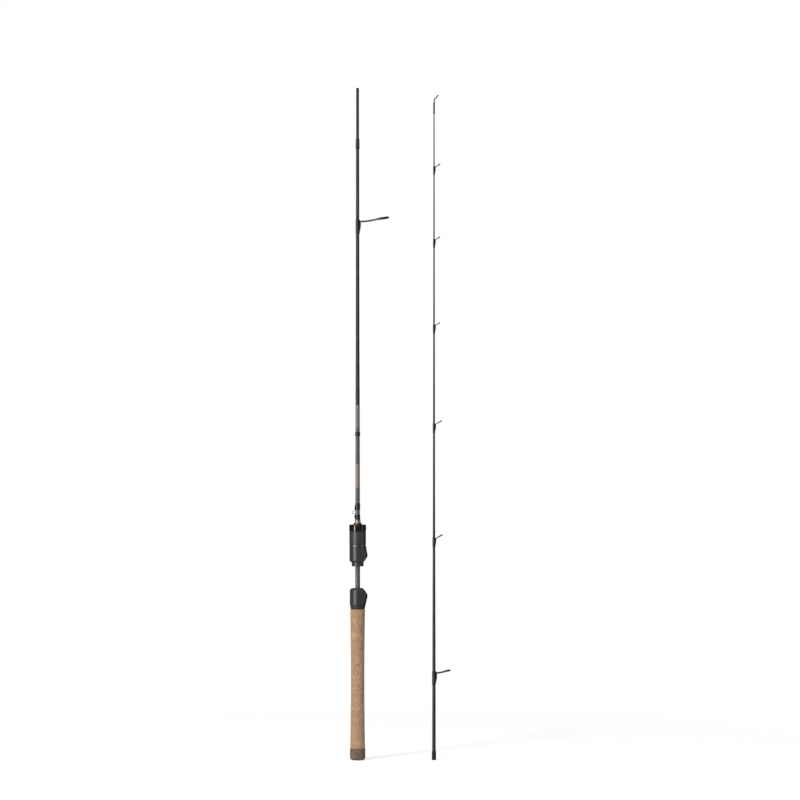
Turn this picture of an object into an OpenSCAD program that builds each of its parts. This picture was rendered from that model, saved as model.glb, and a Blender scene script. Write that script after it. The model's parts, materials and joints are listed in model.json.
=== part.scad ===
// Two-piece spinning rod, taken down: the butt section and the tip section stand side by side.
// Millimetres, +Z towards the tip, origin at the middle of the butt cap's end face.
// The guides, the hoods' mouths and the tip section are on the +X side.

/* [Sections] */
// Length of the butt section, butt cap to the end of the ferrule
butt_section_length = 1100; // [1090:1:1150]
// Length of the tip section, socket to the top of the tip ring
tip_section_length = 1089; // [1075:1:1120]
// Length of ferrule that the socket slides over
ferrule_length = 82; // [70:1:90]
// Distance between the axes of the two sections
section_spacing = 125; // [110:1:200]

/* [Butt blank] */
// Diameter through the whole handle
handle_blank_d = 7.9; // [7.6:0.1:8.2]
// Diameter just above the hook keeper
keeper_blank_d = 7.4; // [6.8:0.1:7.5]
// Diameter where the lacquered part starts
lacquer_blank_d = 7.0; // [6.4:0.1:7.2]
// Diameter a quarter of the way up the lacquered part
middle_blank_d = 6.2; // [5.7:0.1:6.4]
// Diameter at the lower end of the ferrule wrap
upper_blank_d = 5.3; // [5.0:0.1:5.6]
// Diameter of the male ferrule
ferrule_d = 4.7; // [4.4:0.1:4.8]
// Bore of the blank at its butt end
butt_bore_d = 6.1; // [5.6:0.1:6.3]
// Bore of the blank at the end of the ferrule
ferrule_bore_d = 2.6; // [2.0:0.1:2.8]

/* [Tip blank] */
// Diameter at the mouth of the socket
socket_blank_d = 6.0; // [5.9:0.1:6.2]
// Diameter a fifth of the way up
fifth_blank_d = 5.0; // [4.9:0.1:5.2]
// Diameter two fifths of the way up
two_fifths_blank_d = 3.7; // [3.4:0.1:3.9]
// Diameter seven tenths of the way up
seven_tenths_blank_d = 2.7; // [2.4:0.1:2.8]
// Diameter at the very tip
tip_blank_d = 1.85; // [1.6:0.05:1.9]
// Radial clearance between ferrule and socket
ferrule_clearance = 0.05; // [0.02:0.01:0.08]

/* [Grip] */
// Diameter of the butt cap
butt_cap_d = 25.2; // [24.6:0.1:27]
// Length of the butt cap
butt_cap_length = 19; // [16:0.5:22]
// Rounding of the butt cap's edge
butt_cap_rounding = 5; // [3:0.5:6]
// Number of cork rings
cork_ring_count = 18; // [16:1:20]
// Pitch of the cork rings, which is also their thickness with the glue line
cork_pitch = 12.7; // [12:0.1:13]
// Glue line between two cork rings
cork_glue_gap = 0.06; // [0.02:0.01:0.1]
// Diameter at both ends of the cork grip
cork_end_d = 24.5; // [24:0.1:26]
// Diameter at the waist of the cork grip
cork_waist_d = 22.2; // [21:0.1:23]

/* [Reel seat] */
// Height of the fixed hood
fixed_hood_h = 34; // [32:0.5:36]
// Diameter of the fixed hood where it meets the cork
fixed_hood_base_d = 22.6; // [22:0.1:24]
// Largest diameter of the fixed hood's round body
fixed_hood_d = 25.8; // [25:0.1:27]
// Open blank between the fixed hood and the barrel
open_blank_length = 36.2; // [30:0.1:40]
// Diameter of the threaded barrel
barrel_d = 19.6; // [19:0.1:20]
// Length of the barrel
barrel_length = 65.2; // [64:0.1:70]
// Barrel that shows below the moving hood when it is fully open
barrel_show = 6.7; // [5:0.1:8]
// Height of the moving hood
moving_hood_h = 26.5; // [25:0.5:28]
// Diameter of the moving hood
moving_hood_d = 26.8; // [26:0.1:28]
// Reach of both hoods' lips from the axis
hood_lip_reach = 16.6; // [16:0.1:17.5]
// Wall of both hoods outside the reel foot
hood_wall = 2; // [1.6:0.1:2.4]
// Width of the pocket for the reel foot
foot_pocket_width = 16; // [15:0.5:18]
// Thickness of the thrust ring under the lock nut
thrust_ring_h = 0.8; // [0.5:0.1:1]
// Diameter of the lock nut
lock_nut_d = 27.2; // [26.5:0.1:28]
// Diameter of the ring that ends the barrel
end_ring_d = 27.9; // [27.5:0.1:29]
// Radial clearance of the moving hood and the nut on the barrel
barrel_clearance = 0.05; // [0.02:0.01:0.09]
// Gap between parts that turn against each other
turning_gap = 0.05; // [0.02:0.01:0.1]
// Width of the keyway that stops the moving hood from turning
keyway_width = 3; // [2.5:0.1:3.5]
// Depth of the keyway
keyway_depth = 0.8; // [0.6:0.1:1]

/* [Hook keeper] */
// Height of the winding check
check_h = 8.3; // [7:0.1:9]
// Diameter of the winding check at its foot
check_d = 13.5; // [12.5:0.1:14.5]
// Length of the wrap below the loop
lower_keeper_wrap_length = 8; // [7:0.1:9]
// Blank between the two keeper wraps
keeper_gap = 8; // [7:0.1:9]
// Length of the wrap above the loop
upper_keeper_wrap_length = 11; // [10:0.1:12]
// Diameter of the keeper's wire
keeper_wire_d = 1.1; // [0.8:0.05:1.2]
// Reach of the loop from the axis
keeper_reach = 9.2; // [8.4:0.1:9.6]

/* [Stripper guide] */
// Height of the guide's leg above the butt
stripper_z = 882; // [860:1:940]
// Reach of the ring from the blank's axis
stripper_reach = 51.5; // [48:0.5:58]
// Outer diameter of the ring
stripper_ring_d = 18.6; // [17:0.2:20]
// Angle that the ring leans towards the tip
stripper_lean = 8; // [6:1:16]
// Length of the wrap over the foot
stripper_wrap_length = 18.5; // [18:0.5:23]
// Wire of the stripper guide's legs
stripper_wire_d = 2.6; // [1.8:0.1:2.6]

/* [Tip guides] */
// Height of guide 1 above the socket's mouth
guide_1_z = 143; // [135:1:155]
// Height of guide 2
guide_2_z = 363; // [350:1:372]
// Height of guide 3
guide_3_z = 550; // [538:1:560]
// Height of guide 4
guide_4_z = 712; // [700:1:722]
// Height of guide 5
guide_5_z = 852; // [840:1:862]
// Height of guide 6
guide_6_z = 971; // [958:1:980]
// Reach of guide 1, the tallest, from the axis
guide_1_reach = 27.5; // [26:0.5:30]
// Reach of guide 2
guide_2_reach = 14; // [14:0.5:17]
// Reach of guide 3
guide_3_reach = 13; // [12:0.5:14]
// Reach of guides 4, 5 and 6
running_reach = 10.2; // [9.8:0.1:11.5]
// Outer diameter of guide 1's ring
guide_1_ring_d = 10; // [9:0.2:11]
// Outer diameter of guide 2's ring
guide_2_ring_d = 7; // [6.6:0.2:7.6]
// Outer diameter of guide 3's ring
guide_3_ring_d = 6.2; // [5.8:0.2:6.6]
// Outer diameter of the rings of guides 4, 5 and 6
running_ring_d = 5.4; // [5:0.2:5.6]
// Lean of guide 1 towards the tip
guide_1_lean = 10; // [8:1:20]
// Lean of the other guides towards the tip
running_lean = 30; // [24:1:36]
// Length of guide 1's wrap
guide_1_wrap_length = 18; // [18:0.5:22]
// Length of the other guides' wraps
running_wrap_length = 12.3; // [11:0.1:14]

/* [Tip-top] */
// Length of the tube on the end of the blank
tip_tube_length = 9; // [9:0.5:12]
// Diameter of the tube
tip_tube_d = 2.8; // [2.4:0.05:2.9]
// Outer diameter of the tip ring
tip_ring_d = 5.6; // [5.2:0.1:6]
// Offset of the tip ring from the axis
tip_ring_offset = 5.2; // [4.6:0.1:5.8]
// Lean of the tip ring towards the tip
tip_ring_lean = 50; // [42:1:56]
// Length of the trim wrap below the tube
tip_wrap_length = 4; // [4:0.5:7]

/* [Wraps] */
// Thickness of a thread wrap with its varnish
wrap_thickness = 0.45; // [0.35:0.05:0.6]
// Diameter of the wrap that reinforces the socket
socket_wrap_d = 7.0; // [6.9:0.1:7.2]
// Length of the wrap that reinforces the socket
socket_wrap_length = 15; // [12:0.5:18]
// Height where the trim wrap above the handle starts
trim_wrap_z = 531; // [525:1:540]
// Length of the trim wrap
trim_wrap_length = 6.7; // [5:0.1:9]
// Diameter of the trim wrap
trim_wrap_d = 8.4; // [8.1:0.1:8.6]
// Length of the wrap below the ferrule
ferrule_wrap_length = 18; // [15:0.5:21]
// Diameter of the wrap below the ferrule
ferrule_wrap_d = 6.3; // [6.2:0.1:6.6]

/* [Hidden] */
$fn = 64;

// Colours
lacquer = [0.32, 0.33, 0.28];
thread = [0.09, 0.09, 0.10];
cork = [0.72, 0.57, 0.44];
rubber_cork = [0.40, 0.32, 0.26];
seat_grey = [0.23, 0.23, 0.22];
gloss_black = [0.06, 0.06, 0.06];
copper = [0.60, 0.50, 0.44];
gunmetal = [0.38, 0.39, 0.35];
ceramic = [0.16, 0.16, 0.17];
steel = [0.75, 0.76, 0.78];
foam = [0.62, 0.55, 0.42];

// Heights up the handle
cork_top = butt_cap_length + cork_ring_count * cork_pitch;
fixed_hood_top = cork_top + fixed_hood_h;
barrel_z = fixed_hood_top + open_blank_length;
barrel_top = barrel_z + barrel_length;
hood_z = barrel_z + barrel_show;
hood_top = hood_z + moving_hood_h;
nut_z = hood_top + thrust_ring_h + turning_gap;
end_ring_h = 10.1;
end_ring_cover = 2.7;
seat_top = barrel_top + end_ring_cover;
end_ring_z = seat_top - end_ring_h;
check_top = seat_top + check_h;
keeper_z = check_top + lower_keeper_wrap_length;
keeper_top = keeper_z + keeper_gap;
upper_wrap_top = keeper_top + upper_keeper_wrap_length;
ferrule_z = butt_section_length - ferrule_length;

// Radii of the handle
handle_blank_r = handle_blank_d / 2;
barrel_r = barrel_d / 2;
barrel_bore_r = 7.5;
barrel_floor = 3;
running_bore_r = barrel_r + barrel_clearance;

// Outer radius of each blank at the heights where its taper changes
blank_z = 4;
marked_length = 45;
lacquer_z = trim_wrap_z + trim_wrap_length + marked_length;
ferrule_wrap_z = ferrule_z - ferrule_wrap_length;
butt_stations = [
    [blank_z, handle_blank_r],
    [seat_top, handle_blank_r],
    [upper_wrap_top, keeper_blank_d / 2],
    [lacquer_z, lacquer_blank_d / 2],
    [lacquer_z + (ferrule_wrap_z - lacquer_z) / 4, middle_blank_d / 2],
    [ferrule_wrap_z, upper_blank_d / 2],
    [ferrule_z, ferrule_d / 2],
    [butt_section_length, ferrule_d / 2]
];
tip_ring_overhang = 19.5;
tip_blank_length = tip_section_length - tip_ring_overhang;
tip_stations = [
    [0, socket_blank_d / 2],
    [0.2 * tip_section_length, fifth_blank_d / 2],
    [0.4 * tip_section_length, two_fifths_blank_d / 2],
    [0.7 * tip_section_length, seven_tenths_blank_d / 2],
    [tip_blank_length, tip_blank_d / 2]
];
socket_r = ferrule_d / 2 + ferrule_clearance;
socket_depth = ferrule_length + 2;

// Guide sizes, from guide 1 at the socket to guide 6 near the tip
guide_z = [guide_1_z, guide_2_z, guide_3_z, guide_4_z, guide_5_z, guide_6_z];
guide_reach = [
    guide_1_reach, guide_2_reach, guide_3_reach, running_reach, running_reach, running_reach
];
guide_ring_r = [
    guide_1_ring_d / 2, guide_2_ring_d / 2, guide_3_ring_d / 2,
    running_ring_d / 2, running_ring_d / 2, running_ring_d / 2
];
guide_lean = [guide_1_lean, running_lean, running_lean, running_lean, running_lean, running_lean];
guide_wrap = [
    guide_1_wrap_length, running_wrap_length, running_wrap_length,
    running_wrap_length, running_wrap_length, running_wrap_length
];
guide_wire_r = [1.25, 0.8, 0.75, 0.7, 0.7, 0.7];

// A foot's centre stands off the blank by this part of its radius, so that its seat is flat
foot_sink = 0.6;
// Thread below the end of a foot
foot_start = 3.6;

// Amount by which a cut passes through a face
cut = 1;
// A wrap's ends taper over wrap_taper to wrap_edge below its full radius
wrap_taper = 1.2;
wrap_edge = 0.3;

function butt_r(z) = lookup(z, butt_stations);
function tip_r(z) = lookup(z, tip_stations);
function band_t(ring_r) = 0.2 + 0.1 * ring_r;
function band_h(ring_r) = 0.9 + 0.17 * ring_r;
function guide_foot(wrap, ring_r) = wrap - foot_start + band_h(ring_r);
function lip_r(ring_r) = 0.5 + 0.15 * ring_r;
function cork_r(z) =
    let (middle = (butt_cap_length + cork_top) / 2, half = cork_top - middle)
    (cork_waist_d + (cork_end_d - cork_waist_d) * pow((z - middle) / half, 2)) / 2;

// A tapered tube: outer stations [height, radius], and an inner radius at each end
module tapered_tube(stations, bottom_bore_r, top_bore_r) {
    last = len(stations) - 1;
    rotate_extrude()
        polygon(concat(
            [for (s = stations) [s[1], s[0]]],
            [[top_bore_r, stations[last][0]], [bottom_bore_r, stations[0][0]]]
        ));
}

// The same outline as a solid, for cutting the parts that sit on the blank
module blank_core(stations) {
    last = len(stations) - 1;
    rotate_extrude()
        polygon(concat(
            [for (s = stations) [s[1], s[0]]],
            [[0, stations[last][0]], [0, stations[0][0]]]
        ));
}

// A round wire from point a to point b
module wire(a, b, r) {
    d = b - a;
    translate(a)
        rotate([0, acos(d[2] / norm(d)), atan2(d[1], d[0])])
            cylinder(h = norm(d), r = r);
}

// A ring of tube: inner and outer radius, bottom and height
module sleeve(inner_r, outer_r, z, h) {
    translate([0, 0, z])
        difference() {
            cylinder(h = h, r = outer_r);
            translate([0, 0, -cut])
                cylinder(h = h + 2 * cut, r = inner_r);
        }
}

// A thread wrap round the blank
module thread_wrap(stations, z, length, r) {
    difference() {
        union() {
            translate([0, 0, z])
                cylinder(h = wrap_taper, r1 = r - wrap_edge, r2 = r);
            translate([0, 0, z + wrap_taper])
                cylinder(h = length - 2 * wrap_taper, r = r);
            translate([0, 0, z + length - wrap_taper])
                cylinder(h = wrap_taper, r1 = r, r2 = r - wrap_edge);
        }
        blank_core(stations);
    }
}

// A thread wrap that also covers a guide's foot, with a ridge over the foot
module foot_wrap(stations, z, length, r, foot_x, foot_r) {
    difference() {
        union() {
            translate([0, 0, z])
                cylinder(h = foot_start, r1 = r - wrap_edge, r2 = r);
            translate([0, 0, z + foot_start])
                cylinder(h = length - foot_start, r = r);
            translate([foot_x, 0, z + foot_start / 2])
                cylinder(h = length - foot_start / 2, r = foot_r + wrap_thickness);
        }
        blank_core(stations);
        translate([foot_x, 0, z + foot_start])
            cylinder(h = length, r = foot_r);
    }
}

// Places its children on a guide's ring: centre at the reach, leaning towards the tip
module at_ring(root_x, reach, ring_r, lean) {
    centre_x = reach - ring_r * cos(lean);
    translate([centre_x, 0, (centre_x - root_x) * tan(lean)])
        rotate([0, -lean, 0])
            children();
}

// A single-foot guide: a foot on the blank, two legs that meet the ring's sides, and the ring's band.
// The foot's top is at height 0 and the blank's axis is Z.
module guide_frame(root_x, wire_r, foot_length, reach, ring_r, lean) {
    span = (reach - ring_r * cos(lean) - root_x) / cos(lean);
    side_r = ring_r - band_t(ring_r) / 2;
    side_angle = acos(side_r / span);
    translate([root_x, 0, -foot_length])
        cylinder(h = foot_length + wire_r, r = wire_r);
    at_ring(root_x, reach, ring_r, lean)
        linear_extrude(height = band_h(ring_r), center = true)
            difference() {
                union() {
                    circle(r = ring_r);
                    translate([-span, 0])
                        circle(r = 1.25 * wire_r);
                    for (side = [-1, 1])
                        translate([-span, 0])
                            rotate([0, 0, side * (90 - side_angle)])
                                translate([0, -wire_r])
                                    square([span * sin(side_angle), 2 * wire_r]);
                }
                circle(r = ring_r - band_t(ring_r));
            }
}

// The hard ring pressed into a guide's band: flat outside, round inside
module hard_ring(ring_r) {
    seat_r = ring_r - band_t(ring_r);
    rotate_extrude()
        intersection() {
            translate([seat_r - 0.15, 0])
                circle(r = lip_r(ring_r));
            translate([0, -ring_r])
                square([seat_r, 2 * ring_r]);
        }
}

// One guide of the tip section, numbered from 1
module tip_guide_frame(number) {
    i = number - 1;
    z = guide_z[i];
    root_x = tip_r(z) + foot_sink * guide_wire_r[i];
    color(gunmetal)
        translate([section_spacing, 0, 0])
            difference() {
                translate([0, 0, z])
                    guide_frame(
                        root_x, guide_wire_r[i], guide_foot(guide_wrap[i], guide_ring_r[i]),
                        guide_reach[i], guide_ring_r[i], guide_lean[i]
                    );
                blank_core(tip_stations);
            }
}

module tip_guide_ring(number) {
    i = number - 1;
    z = guide_z[i];
    root_x = tip_r(z) + foot_sink * guide_wire_r[i];
    color(ceramic)
        translate([section_spacing, 0, z])
            at_ring(root_x, guide_reach[i], guide_ring_r[i], guide_lean[i])
                hard_ring(guide_ring_r[i]);
}

module tip_guide_wrap(number) {
    i = number - 1;
    z = guide_z[i];
    start = z - band_h(guide_ring_r[i]) - guide_wrap[i];
    color(thread)
        translate([section_spacing, 0, 0])
            foot_wrap(
                tip_stations, start, guide_wrap[i], tip_r(start) + wrap_thickness,
                tip_r(z) + foot_sink * guide_wire_r[i], guide_wire_r[i]
            );
}

// ---- Butt section ----

module butt_blank() {
    color(lacquer)
        tapered_tube(butt_stations, butt_bore_d / 2, ferrule_bore_d / 2);
}

module butt_cap() {
    r = butt_cap_d / 2;
    color(rubber_cork)
        difference() {
            rotate_extrude()
                union() {
                    square([r - butt_cap_rounding, butt_cap_length]);
                    translate([0, butt_cap_rounding])
                        square([r, butt_cap_length - butt_cap_rounding]);
                    translate([r - butt_cap_rounding, butt_cap_rounding])
                        intersection() {
                            circle(r = butt_cap_rounding);
                            translate([0, -butt_cap_rounding])
                                square(butt_cap_rounding);
                        }
                }
            translate([0, 0, blank_z])
                cylinder(h = butt_cap_length, r = handle_blank_r);
        }
}

// Cork rings glued on one another and turned to one waisted outline
module cork_grip() {
    steps = 3; // straight stretches in each ring's outline
    color(cork)
        for (i = [0 : cork_ring_count - 1]) {
            low = butt_cap_length + i * cork_pitch + cork_glue_gap;
            high = butt_cap_length + (i + 1) * cork_pitch;
            rotate_extrude()
                polygon(concat(
                    [for (k = [0 : steps])
                        let (z = low + (high - low) * k / steps) [cork_r(z), z]],
                    [[handle_blank_r, high], [handle_blank_r, low]]
                ));
        }
}

// The slanted cone that forms a hood's lip, longer than the hood at both ends.
// It passes root_reach at height 0 and the lip's reach at lip_height; inset makes it thinner.
module lip_cone(root_reach, lip_height, h, inset) {
    root_r = 10.2;
    lip_r = 11.6;
    extra = 3;
    rise = (hood_lip_reach - lip_r) - (root_reach - root_r);
    growth = (lip_r - root_r) / lip_height;
    translate([root_reach - root_r, 0, 0])
        rotate([0, atan2(rise, lip_height), 0])
            translate([0, 0, -extra])
                cylinder(
                    h = h + 2 * extra,
                    r1 = root_r - extra * growth - inset,
                    r2 = root_r + (h + extra) * growth - inset
                );
}

// A hood: round body, lip on the +X side and a pocket for the reel foot.
// Its root is at height 0 and its mouth is at height h.
module hood(body_r, root_r, root_h, h, lip_height, mouth_h, pocket_z, rounding) {
    lip_edge = 0.6;
    lip_side = 4.3;
    margin = 12;
    difference() {
        union() {
            rotate_extrude()
                union() {
                    polygon([
                        [0, 0], [root_r, 0], [body_r, root_h], [body_r, h - rounding],
                        [body_r - rounding, h], [0, h]
                    ]);
                    translate([body_r - rounding, h - rounding])
                        intersection() {
                            circle(r = rounding);
                            square(rounding);
                        }
                }
            intersection() {
                lip_cone(root_r, lip_height, h, 0);
                rotate([90, 0, 0])
                    linear_extrude(height = 4 * body_r, center = true)
                        polygon([
                            [0, 0], [hood_lip_reach + margin, 0],
                            [hood_lip_reach + margin, lip_height - lip_side],
                            [hood_lip_reach, lip_height - lip_side],
                            [hood_lip_reach - lip_edge, lip_height + lip_edge],
                            [barrel_r + 1.2, mouth_h], [0, mouth_h]
                        ]);
            }
        }
        difference() {
            intersection() {
                lip_cone(root_r, lip_height, h + margin / 2, hood_wall);
                translate([0, -foot_pocket_width / 2, pocket_z])
                    cube([2 * body_r, foot_pocket_width, h + margin]);
            }
            translate([0, 0, -cut])
                cylinder(h = h + margin, r = barrel_r);
        }
    }
}

fixed_hood_cover = 4;

module fixed_hood() {
    color(seat_grey)
        difference() {
            translate([0, 0, cork_top])
                hood(
                    body_r = fixed_hood_d / 2, root_r = fixed_hood_base_d / 2, root_h = 8,
                    h = fixed_hood_h, lip_height = 23, mouth_h = 31, pocket_z = 15.5,
                    rounding = 4
                );
            translate([0, 0, cork_top - cut])
                cylinder(h = fixed_hood_h - fixed_hood_cover + cut, r = barrel_bore_r);
            translate([0, 0, cork_top])
                cylinder(h = fixed_hood_h + cut, r = handle_blank_r);
        }
}

module fixed_hood_arbor() {
    color(foam)
        sleeve(handle_blank_r, barrel_bore_r, cork_top, fixed_hood_h - fixed_hood_cover);
}

module seat_barrel() {
    color(seat_grey)
        difference() {
            translate([0, 0, barrel_z])
                cylinder(h = barrel_length, r = barrel_r);
            translate([0, 0, barrel_z + barrel_floor])
                cylinder(h = barrel_length, r = barrel_bore_r);
            translate([0, 0, barrel_z - cut])
                cylinder(h = barrel_length, r = handle_blank_r);
            translate([-barrel_r - cut, -keyway_width / 2, barrel_z - cut])
                cube([keyway_depth + cut, keyway_width, end_ring_z - barrel_z + cut]);
        }
}

module barrel_arbor() {
    color(foam)
        sleeve(
            handle_blank_r, barrel_bore_r, barrel_z + barrel_floor, barrel_length - barrel_floor
        );
}

// The moving hood faces the fixed one; a key inside it runs in the barrel's keyway
module moving_hood() {
    key_width = keyway_width - 0.2;
    key_depth = keyway_depth - 0.15;
    key_end = 4;
    color(seat_grey)
        union() {
            difference() {
                translate([0, 0, hood_top])
                    mirror([0, 0, 1])
                        hood(
                            body_r = moving_hood_d / 2, root_r = lock_nut_d / 2, root_h = 3,
                            h = moving_hood_h, lip_height = 17, mouth_h = 25, pocket_z = 10,
                            rounding = 3.4
                        );
                translate([0, 0, hood_z - cut])
                    cylinder(h = moving_hood_h + 2 * cut, r = running_bore_r);
            }
            difference() {
                translate([-barrel_r - cut, -key_width / 2, hood_z + key_end])
                    cube([cut + key_depth, key_width, moving_hood_h - 2 * key_end]);
                translate([0, 0, hood_z])
                    cylinder(h = moving_hood_h, r = barrel_r - key_depth);
            }
        }
}

module thrust_ring() {
    color(steel)
        sleeve(running_bore_r, lock_nut_d / 2 - 0.5, hood_top, thrust_ring_h);
}

module lock_nut() {
    chamfer = 0.6;
    h = end_ring_z - turning_gap - nut_z;
    r = lock_nut_d / 2;
    color(seat_grey)
        translate([0, 0, nut_z])
            rotate_extrude()
                polygon([
                    [running_bore_r, 0], [r - chamfer, 0], [r, chamfer],
                    [r, h - chamfer], [r - chamfer, h], [running_bore_r, h]
                ]);
}

module barrel_end_ring() {
    rounding = 1.2;
    r = end_ring_d / 2;
    color(gloss_black)
        translate([0, 0, end_ring_z])
            difference() {
                rotate_extrude()
                    union() {
                        square([r - rounding, end_ring_h]);
                        translate([0, rounding])
                            square([r, end_ring_h - 2 * rounding]);
                        for (z = [rounding, end_ring_h - rounding])
                            translate([r - rounding, z])
                                circle(r = rounding);
                    }
                translate([0, 0, -cut])
                    cylinder(h = end_ring_h - end_ring_cover + cut, r = barrel_r);
                cylinder(h = end_ring_h + cut, r = handle_blank_r);
            }
}

module winding_check() {
    rim = 2;
    edge = 0.75;
    color(copper)
        difference() {
            union() {
                translate([0, 0, seat_top])
                    cylinder(h = rim, r = check_d / 2);
                translate([0, 0, seat_top + rim])
                    cylinder(
                        h = check_h - rim, r1 = check_d / 2, r2 = butt_r(check_top) + edge
                    );
            }
            blank_core(butt_stations);
        }
}

keeper_wire_r = keeper_wire_d / 2;
keeper_foot_x = -(butt_r(check_top) + keeper_wire_r);
keeper_foot = 6;
keeper_bow_gap = 1.5; // straight wire between a wrap and the bow

module lower_keeper_wrap() {
    color(thread)
        difference() {
            thread_wrap(
                butt_stations, check_top, lower_keeper_wrap_length,
                butt_r(check_top) + wrap_thickness
            );
            keeper_feet();
        }
}

module upper_keeper_wrap() {
    inset = 1;
    color(thread)
        difference() {
            union() {
                thread_wrap(
                    butt_stations, keeper_top, upper_keeper_wrap_length,
                    butt_r(keeper_top) + wrap_thickness
                );
                difference() {
                    translate([keeper_foot_x, 0, keeper_top + inset])
                        cylinder(h = keeper_foot + inset, r = keeper_wire_r + 0.3);
                    blank_core(butt_stations);
                }
            }
            keeper_feet();
        }
}

// The two straight feet of the hook keeper, one under each wrap
module keeper_feet() {
    for (z = [keeper_z - keeper_foot, keeper_top - keeper_bow_gap])
        translate([keeper_foot_x, 0, z])
            cylinder(h = keeper_foot + keeper_bow_gap, r = keeper_wire_r);
}

// The bow is half a ring, held off the blank by two straight arms
module hook_keeper() {
    bow_r = keeper_gap / 2 - keeper_bow_gap;
    arm = keeper_reach + keeper_foot_x - bow_r - keeper_wire_r;
    middle_z = keeper_z + keeper_gap / 2;
    color(steel)
        difference() {
            union() {
                keeper_feet();
                for (side = [-1, 1]) {
                    translate([keeper_foot_x, 0, middle_z + side * bow_r])
                        sphere(r = keeper_wire_r);
                    translate([keeper_foot_x - arm, 0, middle_z + side * bow_r])
                        rotate([0, 90, 0])
                            cylinder(h = arm, r = keeper_wire_r);
                }
                translate([keeper_foot_x - arm, 0, middle_z])
                    rotate([90, 0, 0])
                        difference() {
                            rotate_extrude()
                                translate([bow_r, 0])
                                    circle(r = keeper_wire_r);
                            translate([0, -2 * bow_r, -cut])
                                cube([3 * bow_r, 4 * bow_r, 2 * cut]);
                        }
            }
            blank_core(butt_stations);
        }
}

module trim_wrap() {
    color(thread)
        thread_wrap(butt_stations, trim_wrap_z, trim_wrap_length, trim_wrap_d / 2);
}

module ferrule_wrap() {
    color(thread)
        thread_wrap(butt_stations, ferrule_wrap_z, ferrule_wrap_length, ferrule_wrap_d / 2);
}

stripper_wire_r = stripper_wire_d / 2;
stripper_root_x = butt_r(stripper_z) + foot_sink * stripper_wire_r;

module stripper_guide_frame() {
    color(gunmetal)
        difference() {
            translate([0, 0, stripper_z])
                guide_frame(
                    stripper_root_x, stripper_wire_r,
                    guide_foot(stripper_wrap_length, stripper_ring_d / 2),
                    stripper_reach, stripper_ring_d / 2, stripper_lean
                );
            blank_core(butt_stations);
        }
}

module stripper_guide_ring() {
    color(ceramic)
        translate([0, 0, stripper_z])
            at_ring(stripper_root_x, stripper_reach, stripper_ring_d / 2, stripper_lean)
                hard_ring(stripper_ring_d / 2);
}

module stripper_guide_wrap() {
    start = stripper_z - band_h(stripper_ring_d / 2) - stripper_wrap_length;
    color(thread)
        foot_wrap(
            butt_stations, start, stripper_wrap_length, butt_r(start) + wrap_thickness,
            stripper_root_x, stripper_wire_r
        );
}

// ---- Tip section ----

module tip_blank() {
    bore_end_r = 0.35;
    bore_end_z = 0.85 * tip_section_length;
    bore_step = 0.3;
    overlap = 0.01;
    color(lacquer)
        translate([section_spacing, 0, 0])
            difference() {
                blank_core(tip_stations);
                translate([0, 0, -cut])
                    cylinder(h = socket_depth + cut, r = socket_r);
                translate([0, 0, socket_depth - overlap])
                    cylinder(
                        h = bore_end_z - socket_depth, r1 = socket_r - bore_step, r2 = bore_end_r
                    );
            }
}

module socket_wrap() {
    color(thread)
        translate([section_spacing, 0, 0])
            thread_wrap(tip_stations, 0, socket_wrap_length, socket_wrap_d / 2);
}

module guide_1_frame() { tip_guide_frame(1); }
module guide_2_frame() { tip_guide_frame(2); }
module guide_3_frame() { tip_guide_frame(3); }
module guide_4_frame() { tip_guide_frame(4); }
module guide_5_frame() { tip_guide_frame(5); }
module guide_6_frame() { tip_guide_frame(6); }
module guide_1_ring() { tip_guide_ring(1); }
module guide_2_ring() { tip_guide_ring(2); }
module guide_3_ring() { tip_guide_ring(3); }
module guide_4_ring() { tip_guide_ring(4); }
module guide_5_ring() { tip_guide_ring(5); }
module guide_6_ring() { tip_guide_ring(6); }
module guide_1_wrap() { tip_guide_wrap(1); }
module guide_2_wrap() { tip_guide_wrap(2); }
module guide_3_wrap() { tip_guide_wrap(3); }
module guide_4_wrap() { tip_guide_wrap(4); }
module guide_5_wrap() { tip_guide_wrap(5); }
module guide_6_wrap() { tip_guide_wrap(6); }

// The tip ring's centre: its upper edge is the top of the tip section
tip_ring_r = tip_ring_d / 2;
tip_ring_z = tip_section_length
    - tip_ring_r * sin(tip_ring_lean) - band_h(tip_ring_r) / 2 * cos(tip_ring_lean);
tip_tube_cap = 1; // solid end of the tube above the blank
tip_tube_z = tip_blank_length - tip_tube_length + tip_tube_cap;

module at_tip_ring() {
    translate([section_spacing + tip_ring_offset, 0, tip_ring_z])
        rotate([0, -tip_ring_lean, 0])
            children();
}

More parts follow.
